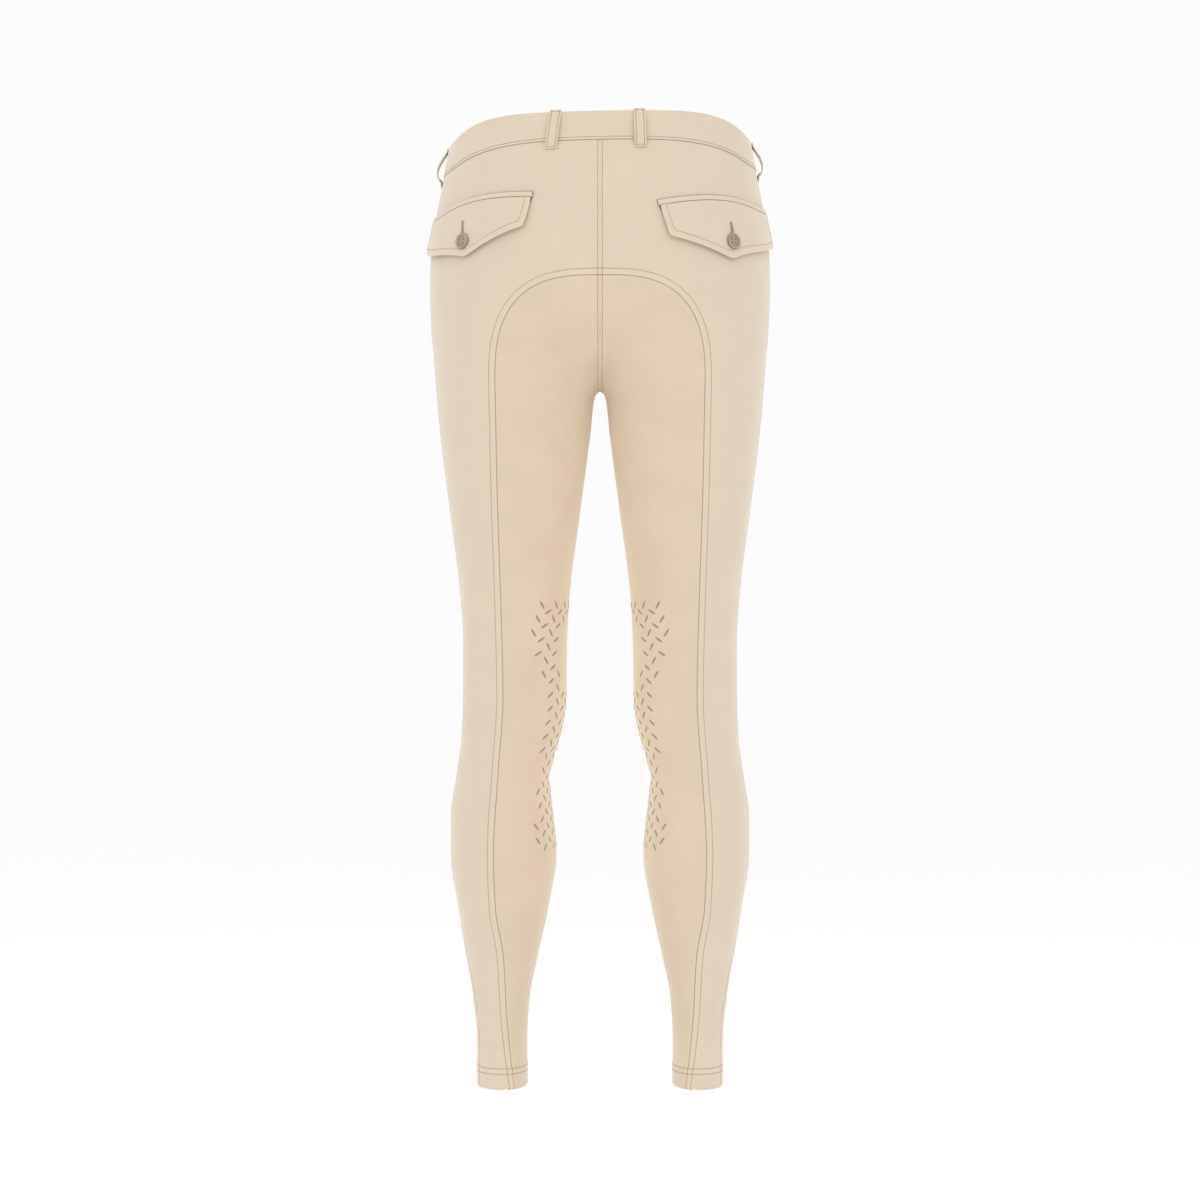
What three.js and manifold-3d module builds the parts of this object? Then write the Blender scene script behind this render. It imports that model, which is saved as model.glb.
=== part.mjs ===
// Riding breeches with a full seat, in the filled-out shape that a wearer gives them.
// Millimetres, +Z up, +X to the wearer's left, -Y to the front. The origin is the middle of the waist
// opening, level with the top of the waistband at the sides: that is where the wearer holds the garment up.
// Each half is sewn from a front panel, a back panel and a seat panel that runs on down the inner leg.

import * as THREE from "three";
import { mergeVertices } from "three/addons/utils/BufferGeometryUtils.js";
import Module from "manifold-3d";

// Driving dimensions
const CLOTH = 1.2; // thickness of the stretch cloth
const SEAM_GAP = 0.3; // between neighbouring pieces
const LAY_GAP = 0.7; // between a panel and what lies on its curve
const HEM_Z = -978; // lower edge of the legs
const HEM_DEPTH = 22; // turned-up edge, two layers of cloth
const BACK_HIGH = 20.5; // the waist at the centre back stands this much above the sides
const FRONT_LOW = 11; // and at the centre front this much below them
const SIDE_LOW = 4.8;
const BACK_RISE_TOP = 25; // where the rise to the back starts, at the top edge and at the waist seam
const BACK_RISE_SEAM = 40;
const BACK_RISE_SPAN = 85;
const SIDEWAYS_LEAN = 0.02;
const BAND_HEIGHT = 29; // waistband
const BAND_PROUD = 0.6; // the waistband's layers stand out from the panels below it
const BAND_THICK = 2.2;
const BAND_LAP = 34; // the left end laps over the right end by this much
const LAP_FACE = BAND_PROUD + BAND_THICK + LAY_GAP; // the lap's face above the panels
const LOOP_WIDTH = 11.5;
const LOOP_THICK = 1.5;
const LOOP_SEWN = 0.1; // the share of a belt loop's length that lies flat at each end, where it is sewn down
const LOOP_BIAS = 1.4; // above 1, a belt loop's bow is widest below its middle
const LOOP_FULL = 0.75; // below 1, the bow is fuller than a sine
const LOOP_ABOVE = 1.5; // how far a belt loop's head stands above the waistband
const LOOP_BELOW = 8; // how far a belt loop runs on below the waist seam
const CROTCH_Z = -258; // lowest point of the rise seam
const SEAT_TOP = -155; // the arched seat seam at the centre back
const SEAT_WIDTH = 106; // the arched seat seam's distance from the centre at the crotch level
const SEAT_POWER = 2.9; // the arch is a quarter of a superellipse with this exponent
const FRONT_TOP = -205; // the seat panel's tip on the centre front
const FRONT_WIDTH = 58;
const FRONT_POWER = 2.2;
const BUTTON_RADIUS = 8.2;
const BUTTON_THICK = 2.4;
const HOLE_RADIUS = 0.9;
const HOLE_SPACING = 1.9; // from the button's centre, along each axis

// Horizontal sections of the outer face for one half, from the waist to the hem. outer and inner are distances
// from the centre plane: above the crotch inner is negative, because the two halves run into each other there.
// power is the superellipse's exponent, and bridge is how far the cloth spans the hollow between the halves.
const SECTIONS = [
  { z: 8, outer: 155.5, inner: -155.5, front: -111, back: 115, power: 2.4, bridge: 5 },
  { z: 0, outer: 156.5, inner: -156.5, front: -112, back: 116, power: 2.4, bridge: 5 },
  { z: -29, outer: 162, inner: -162, front: -116, back: 119, power: 2.4, bridge: 8 },
  { z: -80, outer: 172.5, inner: -168, front: -121, back: 124, power: 2.4, bridge: 20 },
  { z: -116, outer: 177.5, inner: -148, front: -122, back: 128, power: 2.35, bridge: 26 },
  { z: -156, outer: 178, inner: -92, front: -118, back: 128, power: 2.3, bridge: 26 },
  { z: -196, outer: 175.5, inner: -38, front: -110, back: 121, power: 2.25, bridge: 18 },
  { z: -226, outer: 172, inner: -13, front: -101, back: 110.5, power: 2.2, bridge: 10 },
  { z: CROTCH_Z, outer: 169.5, inner: 5, front: -93.5, back: 102, power: 2.15, bridge: 5 },
  { z: -264, outer: 169, inner: 7.4, front: -92.2, back: 100.4, power: 2.15, bridge: 5 },
  { z: -306, outer: 165, inner: 11.5, front: -86, back: 91, power: 2.1, bridge: 5 },
  { z: -390, outer: 154.5, inner: 22, front: -78, back: 78, power: 2.1, bridge: 5 },
  { z: -472, outer: 144.5, inner: 32, front: -70, back: 67, power: 2.1, bridge: 5 },
  { z: -520, outer: 141.7, inner: 34.5, front: -65, back: 60, power: 2.1, bridge: 5 },
  { z: -580, outer: 142, inner: 35.5, front: -61, back: 56, power: 2.1, bridge: 5 },
  { z: -620, outer: 143.7, inner: 42.5, front: -57, back: 56, power: 2.1, bridge: 5 },
  { z: -659, outer: 149, inner: 52.8, front: -53, back: 59, power: 2.1, bridge: 5 },
  { z: -700, outer: 154.5, inner: 48.8, front: -51, back: 65, power: 2.1, bridge: 5 },
  { z: -740, outer: 154.5, inner: 45.4, front: -50, back: 67, power: 2.1, bridge: 5 },
  { z: -790, outer: 147.3, inner: 53, front: -47, back: 60, power: 2.1, bridge: 5 },
  { z: -846, outer: 138.5, inner: 65, front: -42, back: 49, power: 2.1, bridge: 5 },
  { z: -888, outer: 132, inner: 73.2, front: -38, back: 44, power: 2.1, bridge: 5 },
  { z: -930, outer: 128, inner: 75.6, front: -36, back: 43, power: 2.1, bridge: 5 },
  { z: HEM_Z, outer: 127.6, inner: 75.6, front: -36, back: 43, power: 2.1, bridge: 5 },
];

// Seams of the legs below the crotch, as distances from the centre plane or as turns round the leg
const SEAT_SEAM = [
  { z: CROTCH_Z, x: SEAT_WIDTH },
  { z: -370, x: 104.3 },
  { z: -485, x: 101 },
  { z: -575, x: 99.3 },
  { z: -650, x: 104 },
  { z: -735, x: 108.6 },
  { z: -790, x: 106.8 },
  { z: -840, x: 99 },
  { z: -900, x: 95.8 },
  { z: HEM_Z, x: 88 },
];
const FRONT_SEAM = [
  { z: CROTCH_Z, x: FRONT_WIDTH },
  { z: -370, x: 72 },
  { z: -520, x: 78 },
  { z: -650, x: 84 },
  { z: -800, x: 88 },
  { z: HEM_Z, x: 94 },
];
const SIDE_SEAM = [
  { z: 0, turn: -3 },
  { z: -790, turn: -3 },
  { z: -835, turn: 6 },
  { z: -870, turn: 27 },
  { z: -910, turn: 36 },
  { z: HEM_Z, turn: 37 },
];

// Where each back pocket sits: turns round the half and heights, before the waist is dipped
const POCKETS = [
  { side: "left", sign: 1, innerTurn: 59.5, outerTurn: 8, innerZ: -78, outerZ: -74.5 },
  { side: "right", sign: -1, innerTurn: 64, outerTurn: 8, innerZ: -88, outerZ: -71 },
];
const WELT_HEIGHT = 4.9;
const WELT_THICK = 1.8;
const POCKET_CROWN = 1.8; // how far the pocket's mouth rises above a straight line
const FLAP_INNER = 33.5; // flap depths at its inner end, at its point and at its outer end
const FLAP_POINT = 57.5;
const FLAP_OUTER = 40;
const FLAP_POINT_AT = 0.38; // where the point is, as a share of the flap's width
const FLAP_THICK = 2;
const FLAP_STAND = 2.2; // how far the flap's lower edge stands off the panel
const FLAP_LEAN = 1; // degrees that the inner end leans inwards from top to bottom
const BUTTON_ABOVE_POINT = 14;
const BUTTON_AT = 0.44; // share of the flap's width

// Belt loops: the turns of each one's head and foot, and how far it bows out from the cloth. The ones at the
// sides bow so far that light shows behind them.
const LOOPS = [
  { name: "loop_back_left", sign: 1, head: 68.7, foot: 66.9, stand: 4.6 },
  { name: "loop_back_right", sign: -1, head: 70.9, foot: 70.7, stand: 4.6 },
  { name: "loop_side_left", sign: 1, head: 1, foot: 1, stand: 9 },
  { name: "loop_side_right", sign: -1, head: 1, foot: 1, stand: 9 },
  { name: "loop_front_left", sign: 1, head: -62, foot: -62, stand: 4.6 },
  { name: "loop_front_right", sign: -1, head: -62, foot: -62, stand: 4.6 },
];

const rad = THREE.MathUtils.degToRad;
const deg = THREE.MathUtils.radToDeg;
const lerp = THREE.MathUtils.lerp;
const smooth = THREE.MathUtils.smoothstep;

// A smooth curve through one column of a table, with no overshoot between its rows
function along(table, column) {
  const z = table.map((row) => row.z);
  const y = table.map((row) => row[column]);
  const last = z.length - 1;
  const slope = z.slice(1).map((next, i) => (y[i + 1] - y[i]) / (next - z[i]));
  const tangent = z.map((_, i) => {
    if (i === 0) return slope[0];
    if (i === last) return slope[last - 1];
    if (slope[i - 1] * slope[i] <= 0) return 0;
    return (2 * slope[i - 1] * slope[i]) / (slope[i - 1] + slope[i]);
  });
  return (level) => {
    let i = 0;
    while (i < last - 1 && level < z[i + 1]) i += 1;
    const span = z[i + 1] - z[i];
    const t = THREE.MathUtils.clamp((level - z[i]) / span, 0, 1);
    const rise = t * t * (3 - 2 * t);
    const start = t * (1 - t) * (1 - t) * span;
    const end = -t * t * (1 - t) * span;
    return lerp(y[i], y[i + 1], rise) + start * tangent[i] + end * tangent[i + 1];
  };
}

const outer = along(SECTIONS, "outer");
const inner = along(SECTIONS, "inner");
const front = along(SECTIONS, "front");
const back = along(SECTIONS, "back");
const power = along(SECTIONS, "power");
const bridge = along(SECTIONS, "bridge");
const seatSeamLeg = along(SEAT_SEAM, "x");
const frontSeamLeg = along(FRONT_SEAM, "x");
const sideTurn = along(SIDE_SEAM, "turn");

// The section's middle and half sizes at a level
function section(z, turn) {
  return {
    middle: (outer(z) + inner(z)) / 2,
    half: (outer(z) - inner(z)) / 2,
    deep: Math.sin(rad(turn)) >= 0 ? back(z) : -front(z),
    n: power(z),
  };
}

// The waist is worn higher at the back than at the front, and a little lower on the left. The rise to the back
// begins further round at the waist seam than at the top edge, which makes the waistband deeper at the sides.
function waistDip(x, y, z) {
  const share = smooth(z, -230, -BAND_HEIGHT);
  const start = lerp(BACK_RISE_SEAM, BACK_RISE_TOP, smooth(z, -BAND_HEIGHT, 0));
  const behind = BACK_HIGH * smooth(y, start, start + BACK_RISE_SPAN);
  const before = FRONT_LOW * (1 - smooth(y, -120, start));
  return share * (behind - before - SIDE_LOW - SIDEWAYS_LEAN * x);
}

// A point of the outer face of one half. turn is in degrees: -90 is the front, 0 the side, 90 the back,
// 180 the inner leg. sign is 1 for the wearer's left half and -1 for the right.
function skin(z, turn, sign) {
  const s = section(z, turn);
  const c = Math.cos(rad(turn));
  const v = Math.sin(rad(turn));
  const reach = (Math.abs(c / s.half) ** s.n + Math.abs(v / s.deep) ** s.n) ** (-1 / s.n);
  const span = bridge(z);
  const raw = s.middle + reach * c;
  const x = sign * Math.sqrt(Math.max(raw * raw - span * span, 0));
  const y = reach * v;
  return new THREE.Vector3(x, y, z + waistDip(x, y, z));
}

// The turn at which the section is x away from the centre plane, on the back or on the front
function turnAt(z, x, towardsBack) {
  const s = section(z, towardsBack ? 90 : -90);
  const across = Math.hypot(x, bridge(z)) - s.middle;
  const deep = s.deep * Math.max(1 - Math.abs(across / s.half) ** s.n, 0) ** (1 / s.n);
  return deg(Math.atan2(towardsBack ? deep : -deep, across));
}
const centreBack = (z) => turnAt(z, 0, true);
const centreFront = (z) => turnAt(z, 0, false);

// The outward direction of one half's outer face
function outward(z, turn, sign) {
  const step = 0.4;
  const low = centreFront(z);
  const high = centreBack(z);
  const open = z > CROTCH_Z;
  const wrap = turn > 180 ? turn - 360 : turn;
  const from = open ? Math.max(wrap - step, low) : wrap - step;
  const to = open ? Math.min(wrap + step, high) : wrap + step;
  const round = skin(z, to, sign).sub(skin(z, from, sign));
  const up = skin(z + step, wrap, sign).sub(skin(z - step, wrap, sign));
  const n = round.cross(up).multiplyScalar(sign);
  if (Math.abs(skin(z, wrap, sign).x) < 1e-3) n.x = 0;
  return n.normalize();
}

// Cloth as a closed wall over a surface mesh. points and normals are its outer face, faces are triangles seen
// anticlockwise from outside, and the wall runs thick inwards. Its outline is drawn in by trim.
function clothWall(points, normals, faces, thick, trim) {
  const edges = new Map();
  for (const [a, b, c] of faces) {
    for (const [from, to] of [[a, b], [b, c], [c, a]]) {
      if (edges.get(to) && edges.get(to).has(from)) edges.get(to).delete(from);
      else edges.set(from, (edges.get(from) || new Set()).add(to));
    }
  }
  const rim = [];
  for (const [from, set] of edges) for (const to of set) rim.push([from, to]);
  const pulls = points.map(() => []);
  for (const [from, to] of rim) {
    const run = points[to].clone().sub(points[from]);
    for (const i of [from, to]) pulls[i].push(normals[i].clone().cross(run).normalize());
  }
  const trimmed = points.map((p, i) => {
    if (!pulls[i].length) return p;
    const [first, second] = [pulls[i][0], pulls[i][pulls[i].length - 1]];
    const share = trim / Math.max(1 + first.dot(second), 0.35);
    return p.clone().addScaledVector(first.clone().add(second), share);
  });
  const count = points.length;
  const position = new Float32Array(count * 6);
  trimmed.forEach((p, i) => {
    const depth = typeof thick === "function" ? thick(p) : thick;
    p.toArray(position, i * 3);
    p.clone().addScaledVector(normals[i], -depth).toArray(position, (count + i) * 3);
  });
  const index = [];
  for (const [a, b, c] of faces) index.push(a, b, c, count + a, count + c, count + b);
  for (const [a, b] of rim) index.push(b, a, count + a, b, count + a, count + b);
  const geometry = new THREE.BufferGeometry();
  geometry.setAttribute("position", new THREE.BufferAttribute(position, 3));
  geometry.setIndex(index);
  geometry.computeVertexNormals();
  return geometry;
}

// Two triangles for each cell of a grid, leaving out corners that fall together
function cellFaces(at, rows, columns, flip) {
  const faces = [];
  for (let i = 0; i < rows - 1; i += 1) {
    for (let j = 0; j < columns - 1; j += 1) {
      const [a, b, c, d] = [at(i + 1, j), at(i + 1, j + 1), at(i, j + 1), at(i, j)];
      for (const t of [[a, b, c], [a, c, d]]) {
        if (t[0] === t[1] || t[1] === t[2] || t[0] === t[2]) continue;
        faces.push(flip ? [t[0], t[2], t[1]] : t);
      }
    }
  }
  return faces;
}

// A panel of the garment: strips of rows, each row running from one place to another, sewn into one cloth wall.
// A place is a level and a turn, and the points between two places share them out evenly.
function panelGeometry(strips, sign) {
  const points = [];
  const normals = [];
  const faces = [];
  const known = new Map();
  for (const { rows, columns } of strips) {
    const grid = rows.map(([from, to]) =>
      Array.from({ length: columns + 1 }, (_, j) => {
        const z = lerp(from.z, to.z, j / columns);
        const turn = lerp(from.turn, to.turn, j / columns);
        const p = skin(z, turn, sign);
        const key = p.toArray().map((value) => value.toFixed(3)).join();
        if (!known.has(key)) {
          known.set(key, points.length);
          points.push(p);
          normals.push(outward(z, turn, sign));
        }
        return known.get(key);
      }),
    );
    faces.push(...cellFaces((i, j) => grid[i][j], rows.length, columns + 1, sign < 0));
  }
  const thick = (p) => (p.z < HEM_Z + HEM_DEPTH ? 2 * CLOTH : CLOTH);
  return clothWall(points, normals, faces, thick, SEAM_GAP / 2);
}

// A loose piece of cloth from a grid of points on its outer face, its rows running down from the top edge
function sheetGeometry(grid, thick, flip = false) {
  const rows = grid.length;
  const columns = grid[0].length;
  const at = (i, j) => i * columns + j;
  const normals = grid.map((row, i) =>
    row.map((_, j) => {
      const across = grid[i][Math.min(j + 1, columns - 1)].clone().sub(grid[i][Math.max(j - 1, 0)]);
      const down = grid[Math.min(i + 1, rows - 1)][j].clone().sub(grid[Math.max(i - 1, 0)][j]);
      return down.cross(across).multiplyScalar(flip ? -1 : 1).normalize();
    }),
  );
  return clothWall(grid.flat(), normals.flat(), cellFaces(at, rows, columns, flip), thick, 0);
}

// Seams are lists of places, one for each row of the panels that they join
const places = (levels, turn) => levels.map((z) => ({ z, turn: turn(z) }));
const joined = (first, second) => first.map((place, i) => [place, second[i]]);

function evenLevels(top, bottom, rows) {
  return Array.from({ length: rows + 1 }, (_, i) => lerp(top, bottom, i / rows));
}

// Levels down the rise, closer together towards the crotch, where it curves under
function riseLevels(top, rows) {
  return Array.from({ length: rows + 1 }, (_, i) => CROTCH_Z + (top - CROTCH_Z) * (1 - i / rows) ** 2);
}

// An arched seam from the centre plane down to the crotch level: a quarter of a superellipse
function archPlaces({ top, width, exponent, towardsBack }) {
  return Array.from({ length: ARCH_ROWS + 1 }, (_, i) => {
    const angle = rad((90 * i) / ARCH_ROWS);
    const z = CROTCH_Z + (top - CROTCH_Z) * Math.max(Math.cos(angle), 0) ** (2 / exponent);
    const x = width * Math.sin(angle) ** (2 / exponent);
    return { z, turn: turnAt(z, x, towardsBack) };
  });
}

const ARCH_ROWS = 8;
const WAIST_ROWS = 5; // from the waist seam to the top of an arch
const FRONT_COLUMNS = 8;
const BACK_COLUMNS = 6;
const SEAT_COLUMNS = 4; // on the back and on the front of the seat panel
const LAP_COLUMNS = 4; // of the waistband, on its lap
const LAP_RISE_COLUMNS = 2; // before its lap, where it rides out
const LEG_LEVELS = [
  ...[0, 1.5, 6, 16, 36].map((drop) => CROTCH_Z - drop),
  ...evenLevels(-330, -570, 6),
  ...evenLevels(-600, HEM_Z + HEM_DEPTH + 1, 12),
  HEM_Z + HEM_DEPTH - 1,
  HEM_Z,
];

const BACK_ARCH = archPlaces({ top: SEAT_TOP, width: SEAT_WIDTH, exponent: SEAT_POWER, towardsBack: true });
const FRONT_ARCH = archPlaces({
  top: FRONT_TOP,
  width: FRONT_WIDTH,
  exponent: FRONT_POWER,
  towardsBack: false,
});
const BACK_LEG = places(LEG_LEVELS, (z) => turnAt(z, seatSeamLeg(z), true));
const FRONT_LEG = places(LEG_LEVELS, (z) => turnAt(z, frontSeamLeg(z), false));
const SIDE_LEG = places(LEG_LEVELS, sideTurn);
const INNER_LEG = places(LEG_LEVELS, () => 180);
const SIDE_HIP = places(evenLevels(-BAND_HEIGHT, CROTCH_Z, WAIST_ROWS + ARCH_ROWS), sideTurn);
const CENTRE_BACK = places(evenLevels(-BAND_HEIGHT, SEAT_TOP, WAIST_ROWS), centreBack);
const CENTRE_FRONT = places(evenLevels(-BAND_HEIGHT, FRONT_TOP, WAIST_ROWS), centreFront);
const BACK_RISE = places(riseLevels(SEAT_TOP, ARCH_ROWS), centreBack);
const FRONT_RISE = places(riseLevels(FRONT_TOP, ARCH_ROWS), centreFront);

function frontPanel(sign) {
  const inside = [...CENTRE_FRONT, ...FRONT_ARCH.slice(1)];
  return panelGeometry(
    [
      { rows: joined(inside, SIDE_HIP), columns: FRONT_COLUMNS },
      { rows: joined(FRONT_LEG, SIDE_LEG), columns: FRONT_COLUMNS },
    ],
    sign,
  );
}

function backPanel(sign) {
  const inside = [...CENTRE_BACK, ...BACK_ARCH.slice(1)];
  return panelGeometry(
    [
      { rows: joined(SIDE_HIP, inside), columns: BACK_COLUMNS },
      { rows: joined(SIDE_LEG, BACK_LEG), columns: BACK_COLUMNS },
    ],
    sign,
  );
}

function seatPanel(sign) {
  const full = (seam) => seam.map(({ z, turn }) => ({ z, turn: turn + 360 }));
  return panelGeometry(
    [
      { rows: joined(BACK_ARCH, BACK_RISE), columns: SEAT_COLUMNS },
      { rows: joined(full(FRONT_RISE), full(FRONT_ARCH)), columns: SEAT_COLUMNS },
      { rows: joined(BACK_LEG, INNER_LEG), columns: SEAT_COLUMNS },
      { rows: joined(INNER_LEG, full(FRONT_LEG)), columns: SEAT_COLUMNS },
    ],
    sign,
  );
}

// A point moved out from one half's outer face
function offSkin(z, turn, sign, out) {
  return skin(z, turn, sign).addScaledVector(outward(z, turn, sign), out);
}

// The waistband goes once round the waist. It starts on the right at the centre front, and its other end laps
// over that start, riding out over the layer below.
function waistband() {
  const stops = [{ sign: -1, turn: centreFront }];
  const sector = (sign, from, to, columns) => {
    for (let j = 1; j <= columns; j += 1) {
      stops.push({ sign, turn: (z) => lerp(from(z), to(z), j / columns) });
    }
  };
  sector(-1, centreFront, sideTurn, FRONT_COLUMNS);
  sector(-1, sideTurn, centreBack, BACK_COLUMNS);
  sector(1, centreBack, sideTurn, BACK_COLUMNS);
  sector(1, sideTurn, centreFront, FRONT_COLUMNS);
  const centre = stops.length - 1;
  sector(-1, centreFront, (z) => centreFront(z) + deg(BAND_LAP / -front(z)), LAP_COLUMNS);
  const grid = evenLevels(0, -BAND_HEIGHT + SEAM_GAP, 2).map((z) =>
    stops.map(({ sign, turn }, j) => {
      const ride = smooth(j, centre - LAP_RISE_COLUMNS, centre) * (LAP_FACE - BAND_PROUD);
      return offSkin(z, turn(z), sign, BAND_PROUD + ride);
    }),
  );
  return sheetGeometry(grid, BAND_THICK, true);
}

// A belt loop: a strip that leaves the waistband's top edge, arches out and comes back below the waist seam
function beltLoop({ sign, head, foot, stand }) {
  const rows = 10;
  const columns = 2;
  const rest = BAND_PROUD + SEAM_GAP + LOOP_THICK;
  const grid = Array.from({ length: rows + 1 }, (_, i) => {
    const t = i / rows;
    const z = lerp(LOOP_ABOVE, -BAND_HEIGHT - LOOP_BELOW, t);
    const free = THREE.MathUtils.clamp((t - LOOP_SEWN) / (1 - 2 * LOOP_SEWN), 0, 1);
    const bow = Math.max(Math.sin(Math.PI * free ** LOOP_BIAS), 0) ** LOOP_FULL;
    const out = rest + (stand - rest) * bow;
    const turn = lerp(head, foot, t);
    const middle = skin(z, turn, sign);
    const halfTurn = deg(LOOP_WIDTH / 2 / Math.hypot(middle.x, middle.y));
    return Array.from({ length: columns + 1 }, (_, j) => {
      return offSkin(z, turn + halfTurn * lerp(-1, 1, j / columns), sign, out);
    });
  });
  return sheetGeometry(grid, LOOP_THICK, sign < 0);
}

// A point of a back pocket: share runs from its inner end to its outer end, drop is measured downwards
function pocketPoint(pocket, share, drop, lean, out) {
  const turn = lerp(pocket.innerTurn, pocket.outerTurn, share) + lean * (1 - share);
  const z = lerp(pocket.innerZ, pocket.outerZ, share) + POCKET_CROWN * Math.sin(Math.PI * share) - drop;
  return offSkin(z, turn, pocket.sign, out);
}

function pocketWelt(pocket) {
  const columns = 10;
  const face = LAY_GAP + WELT_THICK;
  const grid = [0, 1].map((t) =>
    Array.from({ length: columns + 1 }, (_, j) => {
      return pocketPoint(pocket, lerp(-0.01, 1.01, j / columns), t * WELT_HEIGHT, 0, face);
    }),
  );
  return sheetGeometry(grid, WELT_THICK, pocket.sign > 0);
}

// The flap's depth below the top of the welt
function flapDepth(share) {
  const t = share < FLAP_POINT_AT ? share / FLAP_POINT_AT : (1 - share) / (1 - FLAP_POINT_AT);
  const end = share < FLAP_POINT_AT ? FLAP_INNER : FLAP_OUTER;
  return end + (FLAP_POINT - end) * t ** 1.15;
}
function flapPoint(pocket, share, down) {
  const drop = WELT_HEIGHT + SEAM_GAP + down * (flapDepth(share) - WELT_HEIGHT - SEAM_GAP);
  const out = LAY_GAP + FLAP_THICK + FLAP_STAND * down ** 1.5;
  return pocketPoint(pocket, share, drop, FLAP_LEAN * down, out);
}

function pocketFlap(pocket) {
  const half = 6;
  const shares = [
    ...Array.from({ length: half }, (_, j) => (FLAP_POINT_AT * j) / half),
    ...Array.from({ length: half + 1 }, (_, j) => lerp(FLAP_POINT_AT, 1, j / half)),
  ];
  const grid = [0, 0.33, 0.67, 1].map((down) => shares.map((share) => flapPoint(pocket, share, down)));
  return sheetGeometry(grid, FLAP_THICK, pocket.sign > 0);
}

// A dished button with a raised rim and four thread holes, standing on z = 0
async function buttonGeometry() {
  const wasm = await Module();
  wasm.setup();
  const profile = [
    [0, 0],
    [BUTTON_RADIUS - 1.2, 0],
    [BUTTON_RADIUS, 0.9],
    [BUTTON_RADIUS, 1.7],
    [BUTTON_RADIUS - 0.7, BUTTON_THICK],
    [BUTTON_RADIUS - 1.9, BUTTON_THICK],
    [BUTTON_RADIUS - 3, BUTTON_THICK - 0.7],
    [0, BUTTON_THICK - 0.7],
  ].map(([r, h]) => new THREE.Vector2(r, h));
  const solid = (geometry) => {
    geometry.deleteAttribute("normal");
    geometry.deleteAttribute("uv");
    const merged = mergeVertices(geometry, 1e-4);
    return new wasm.Manifold(
      new wasm.Mesh({
        numProp: 3,
        vertProperties: merged.attributes.position.array,
        triVerts: new Uint32Array(merged.index.array),
      }),
    );
  };
  let disc = solid(new THREE.LatheGeometry(profile, 20).rotateX(Math.PI / 2));
  for (const [x, y] of [[1, 1], [1, -1], [-1, 1], [-1, -1]]) {
    const hole = new THREE.CylinderGeometry(HOLE_RADIUS, HOLE_RADIUS, 3 * BUTTON_THICK, 6);
    hole.rotateX(Math.PI / 2).translate(x * HOLE_SPACING, y * HOLE_SPACING, 0);
    disc = disc.subtract(solid(hole));
  }
  const mesh = disc.getMesh();
  const geometry = new THREE.BufferGeometry();
  geometry.setAttribute("position", new THREE.BufferAttribute(mesh.vertProperties, 3));
  geometry.setIndex(new THREE.BufferAttribute(mesh.triVerts, 1));
  geometry.computeVertexNormals();
  return geometry;
}

const CREAM = new THREE.MeshStandardMaterial({ color: "#e2d2be", roughness: 0.85, metalness: 0 });
const SEAT_CREAM = new THREE.MeshStandardMaterial({ color: "#ddc9ae", roughness: 0.85, metalness: 0 });
const HORN = new THREE.MeshStandardMaterial({ color: "#a8977b", roughness: 0.45, metalness: 0 });

const breeches = new THREE.Group();
function add(name, geometry, material) {
  const mesh = new THREE.Mesh(geometry, material);
  mesh.name = name;
  breeches.add(mesh);
  return mesh;
}

// A button whose back rests on a surface point, facing along the surface's outward direction
function placeButton(name, geometry, seat, facing) {
  const button = add(name, geometry, HORN);
  button.position.copy(seat).addScaledVector(facing, SEAM_GAP);
  button.quaternion.setFromUnitVectors(new THREE.Vector3(0, 0, 1), facing);
}

for (const [side, sign] of [["left", 1], ["right", -1]]) {
  add(`front_${side}`, frontPanel(sign), CREAM);
  add(`back_${side}`, backPanel(sign), CREAM);
  add(`seat_${side}`, seatPanel(sign), SEAT_CREAM);
}
for (const loop of LOOPS) add(loop.name, beltLoop(loop), CREAM);
add("waistband", waistband(), CREAM);

// The garment's own buttons: one on each flap and one on the waistband's lap
const button = await buttonGeometry();
for (const pocket of POCKETS) {
  add(`pocket_welt_${pocket.side}`, pocketWelt(pocket), CREAM);
  add(`pocket_flap_${pocket.side}`, pocketFlap(pocket), CREAM);
  const down = 1 - BUTTON_ABOVE_POINT / (FLAP_POINT - WELT_HEIGHT);
  const step = 0.05;
  const across = flapPoint(pocket, BUTTON_AT + step, down).sub(flapPoint(pocket, BUTTON_AT - step, down));
  const below = flapPoint(pocket, BUTTON_AT, down + step).sub(flapPoint(pocket, BUTTON_AT, down - step));
  const facing = across.cross(below).multiplyScalar(pocket.sign).normalize();
  placeButton(`pocket_button_${pocket.side}`, button, flapPoint(pocket, BUTTON_AT, down), facing);
}
const lapMiddle = { z: -BAND_HEIGHT / 2, turn: -90 + deg(BAND_LAP / 2 / -front(0)) };
placeButton(
  "waist_button",
  button,
  offSkin(lapMiddle.z, lapMiddle.turn, -1, LAP_FACE),
  outward(lapMiddle.z, lapMiddle.turn, -1),
);

export default breeches;
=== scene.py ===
"""Riding breeches with a full seat, filled out as they are worn and seen from behind.

Shapes are worked out in millimetres and put into their meshes in metres. +Z is up, +X is the wearer's left
and -Y the front. Each half is described by a level z and a turn round it in degrees: -90 is the front, 0 the
side, 90 the back and 180 the inner leg.
"""

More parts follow.
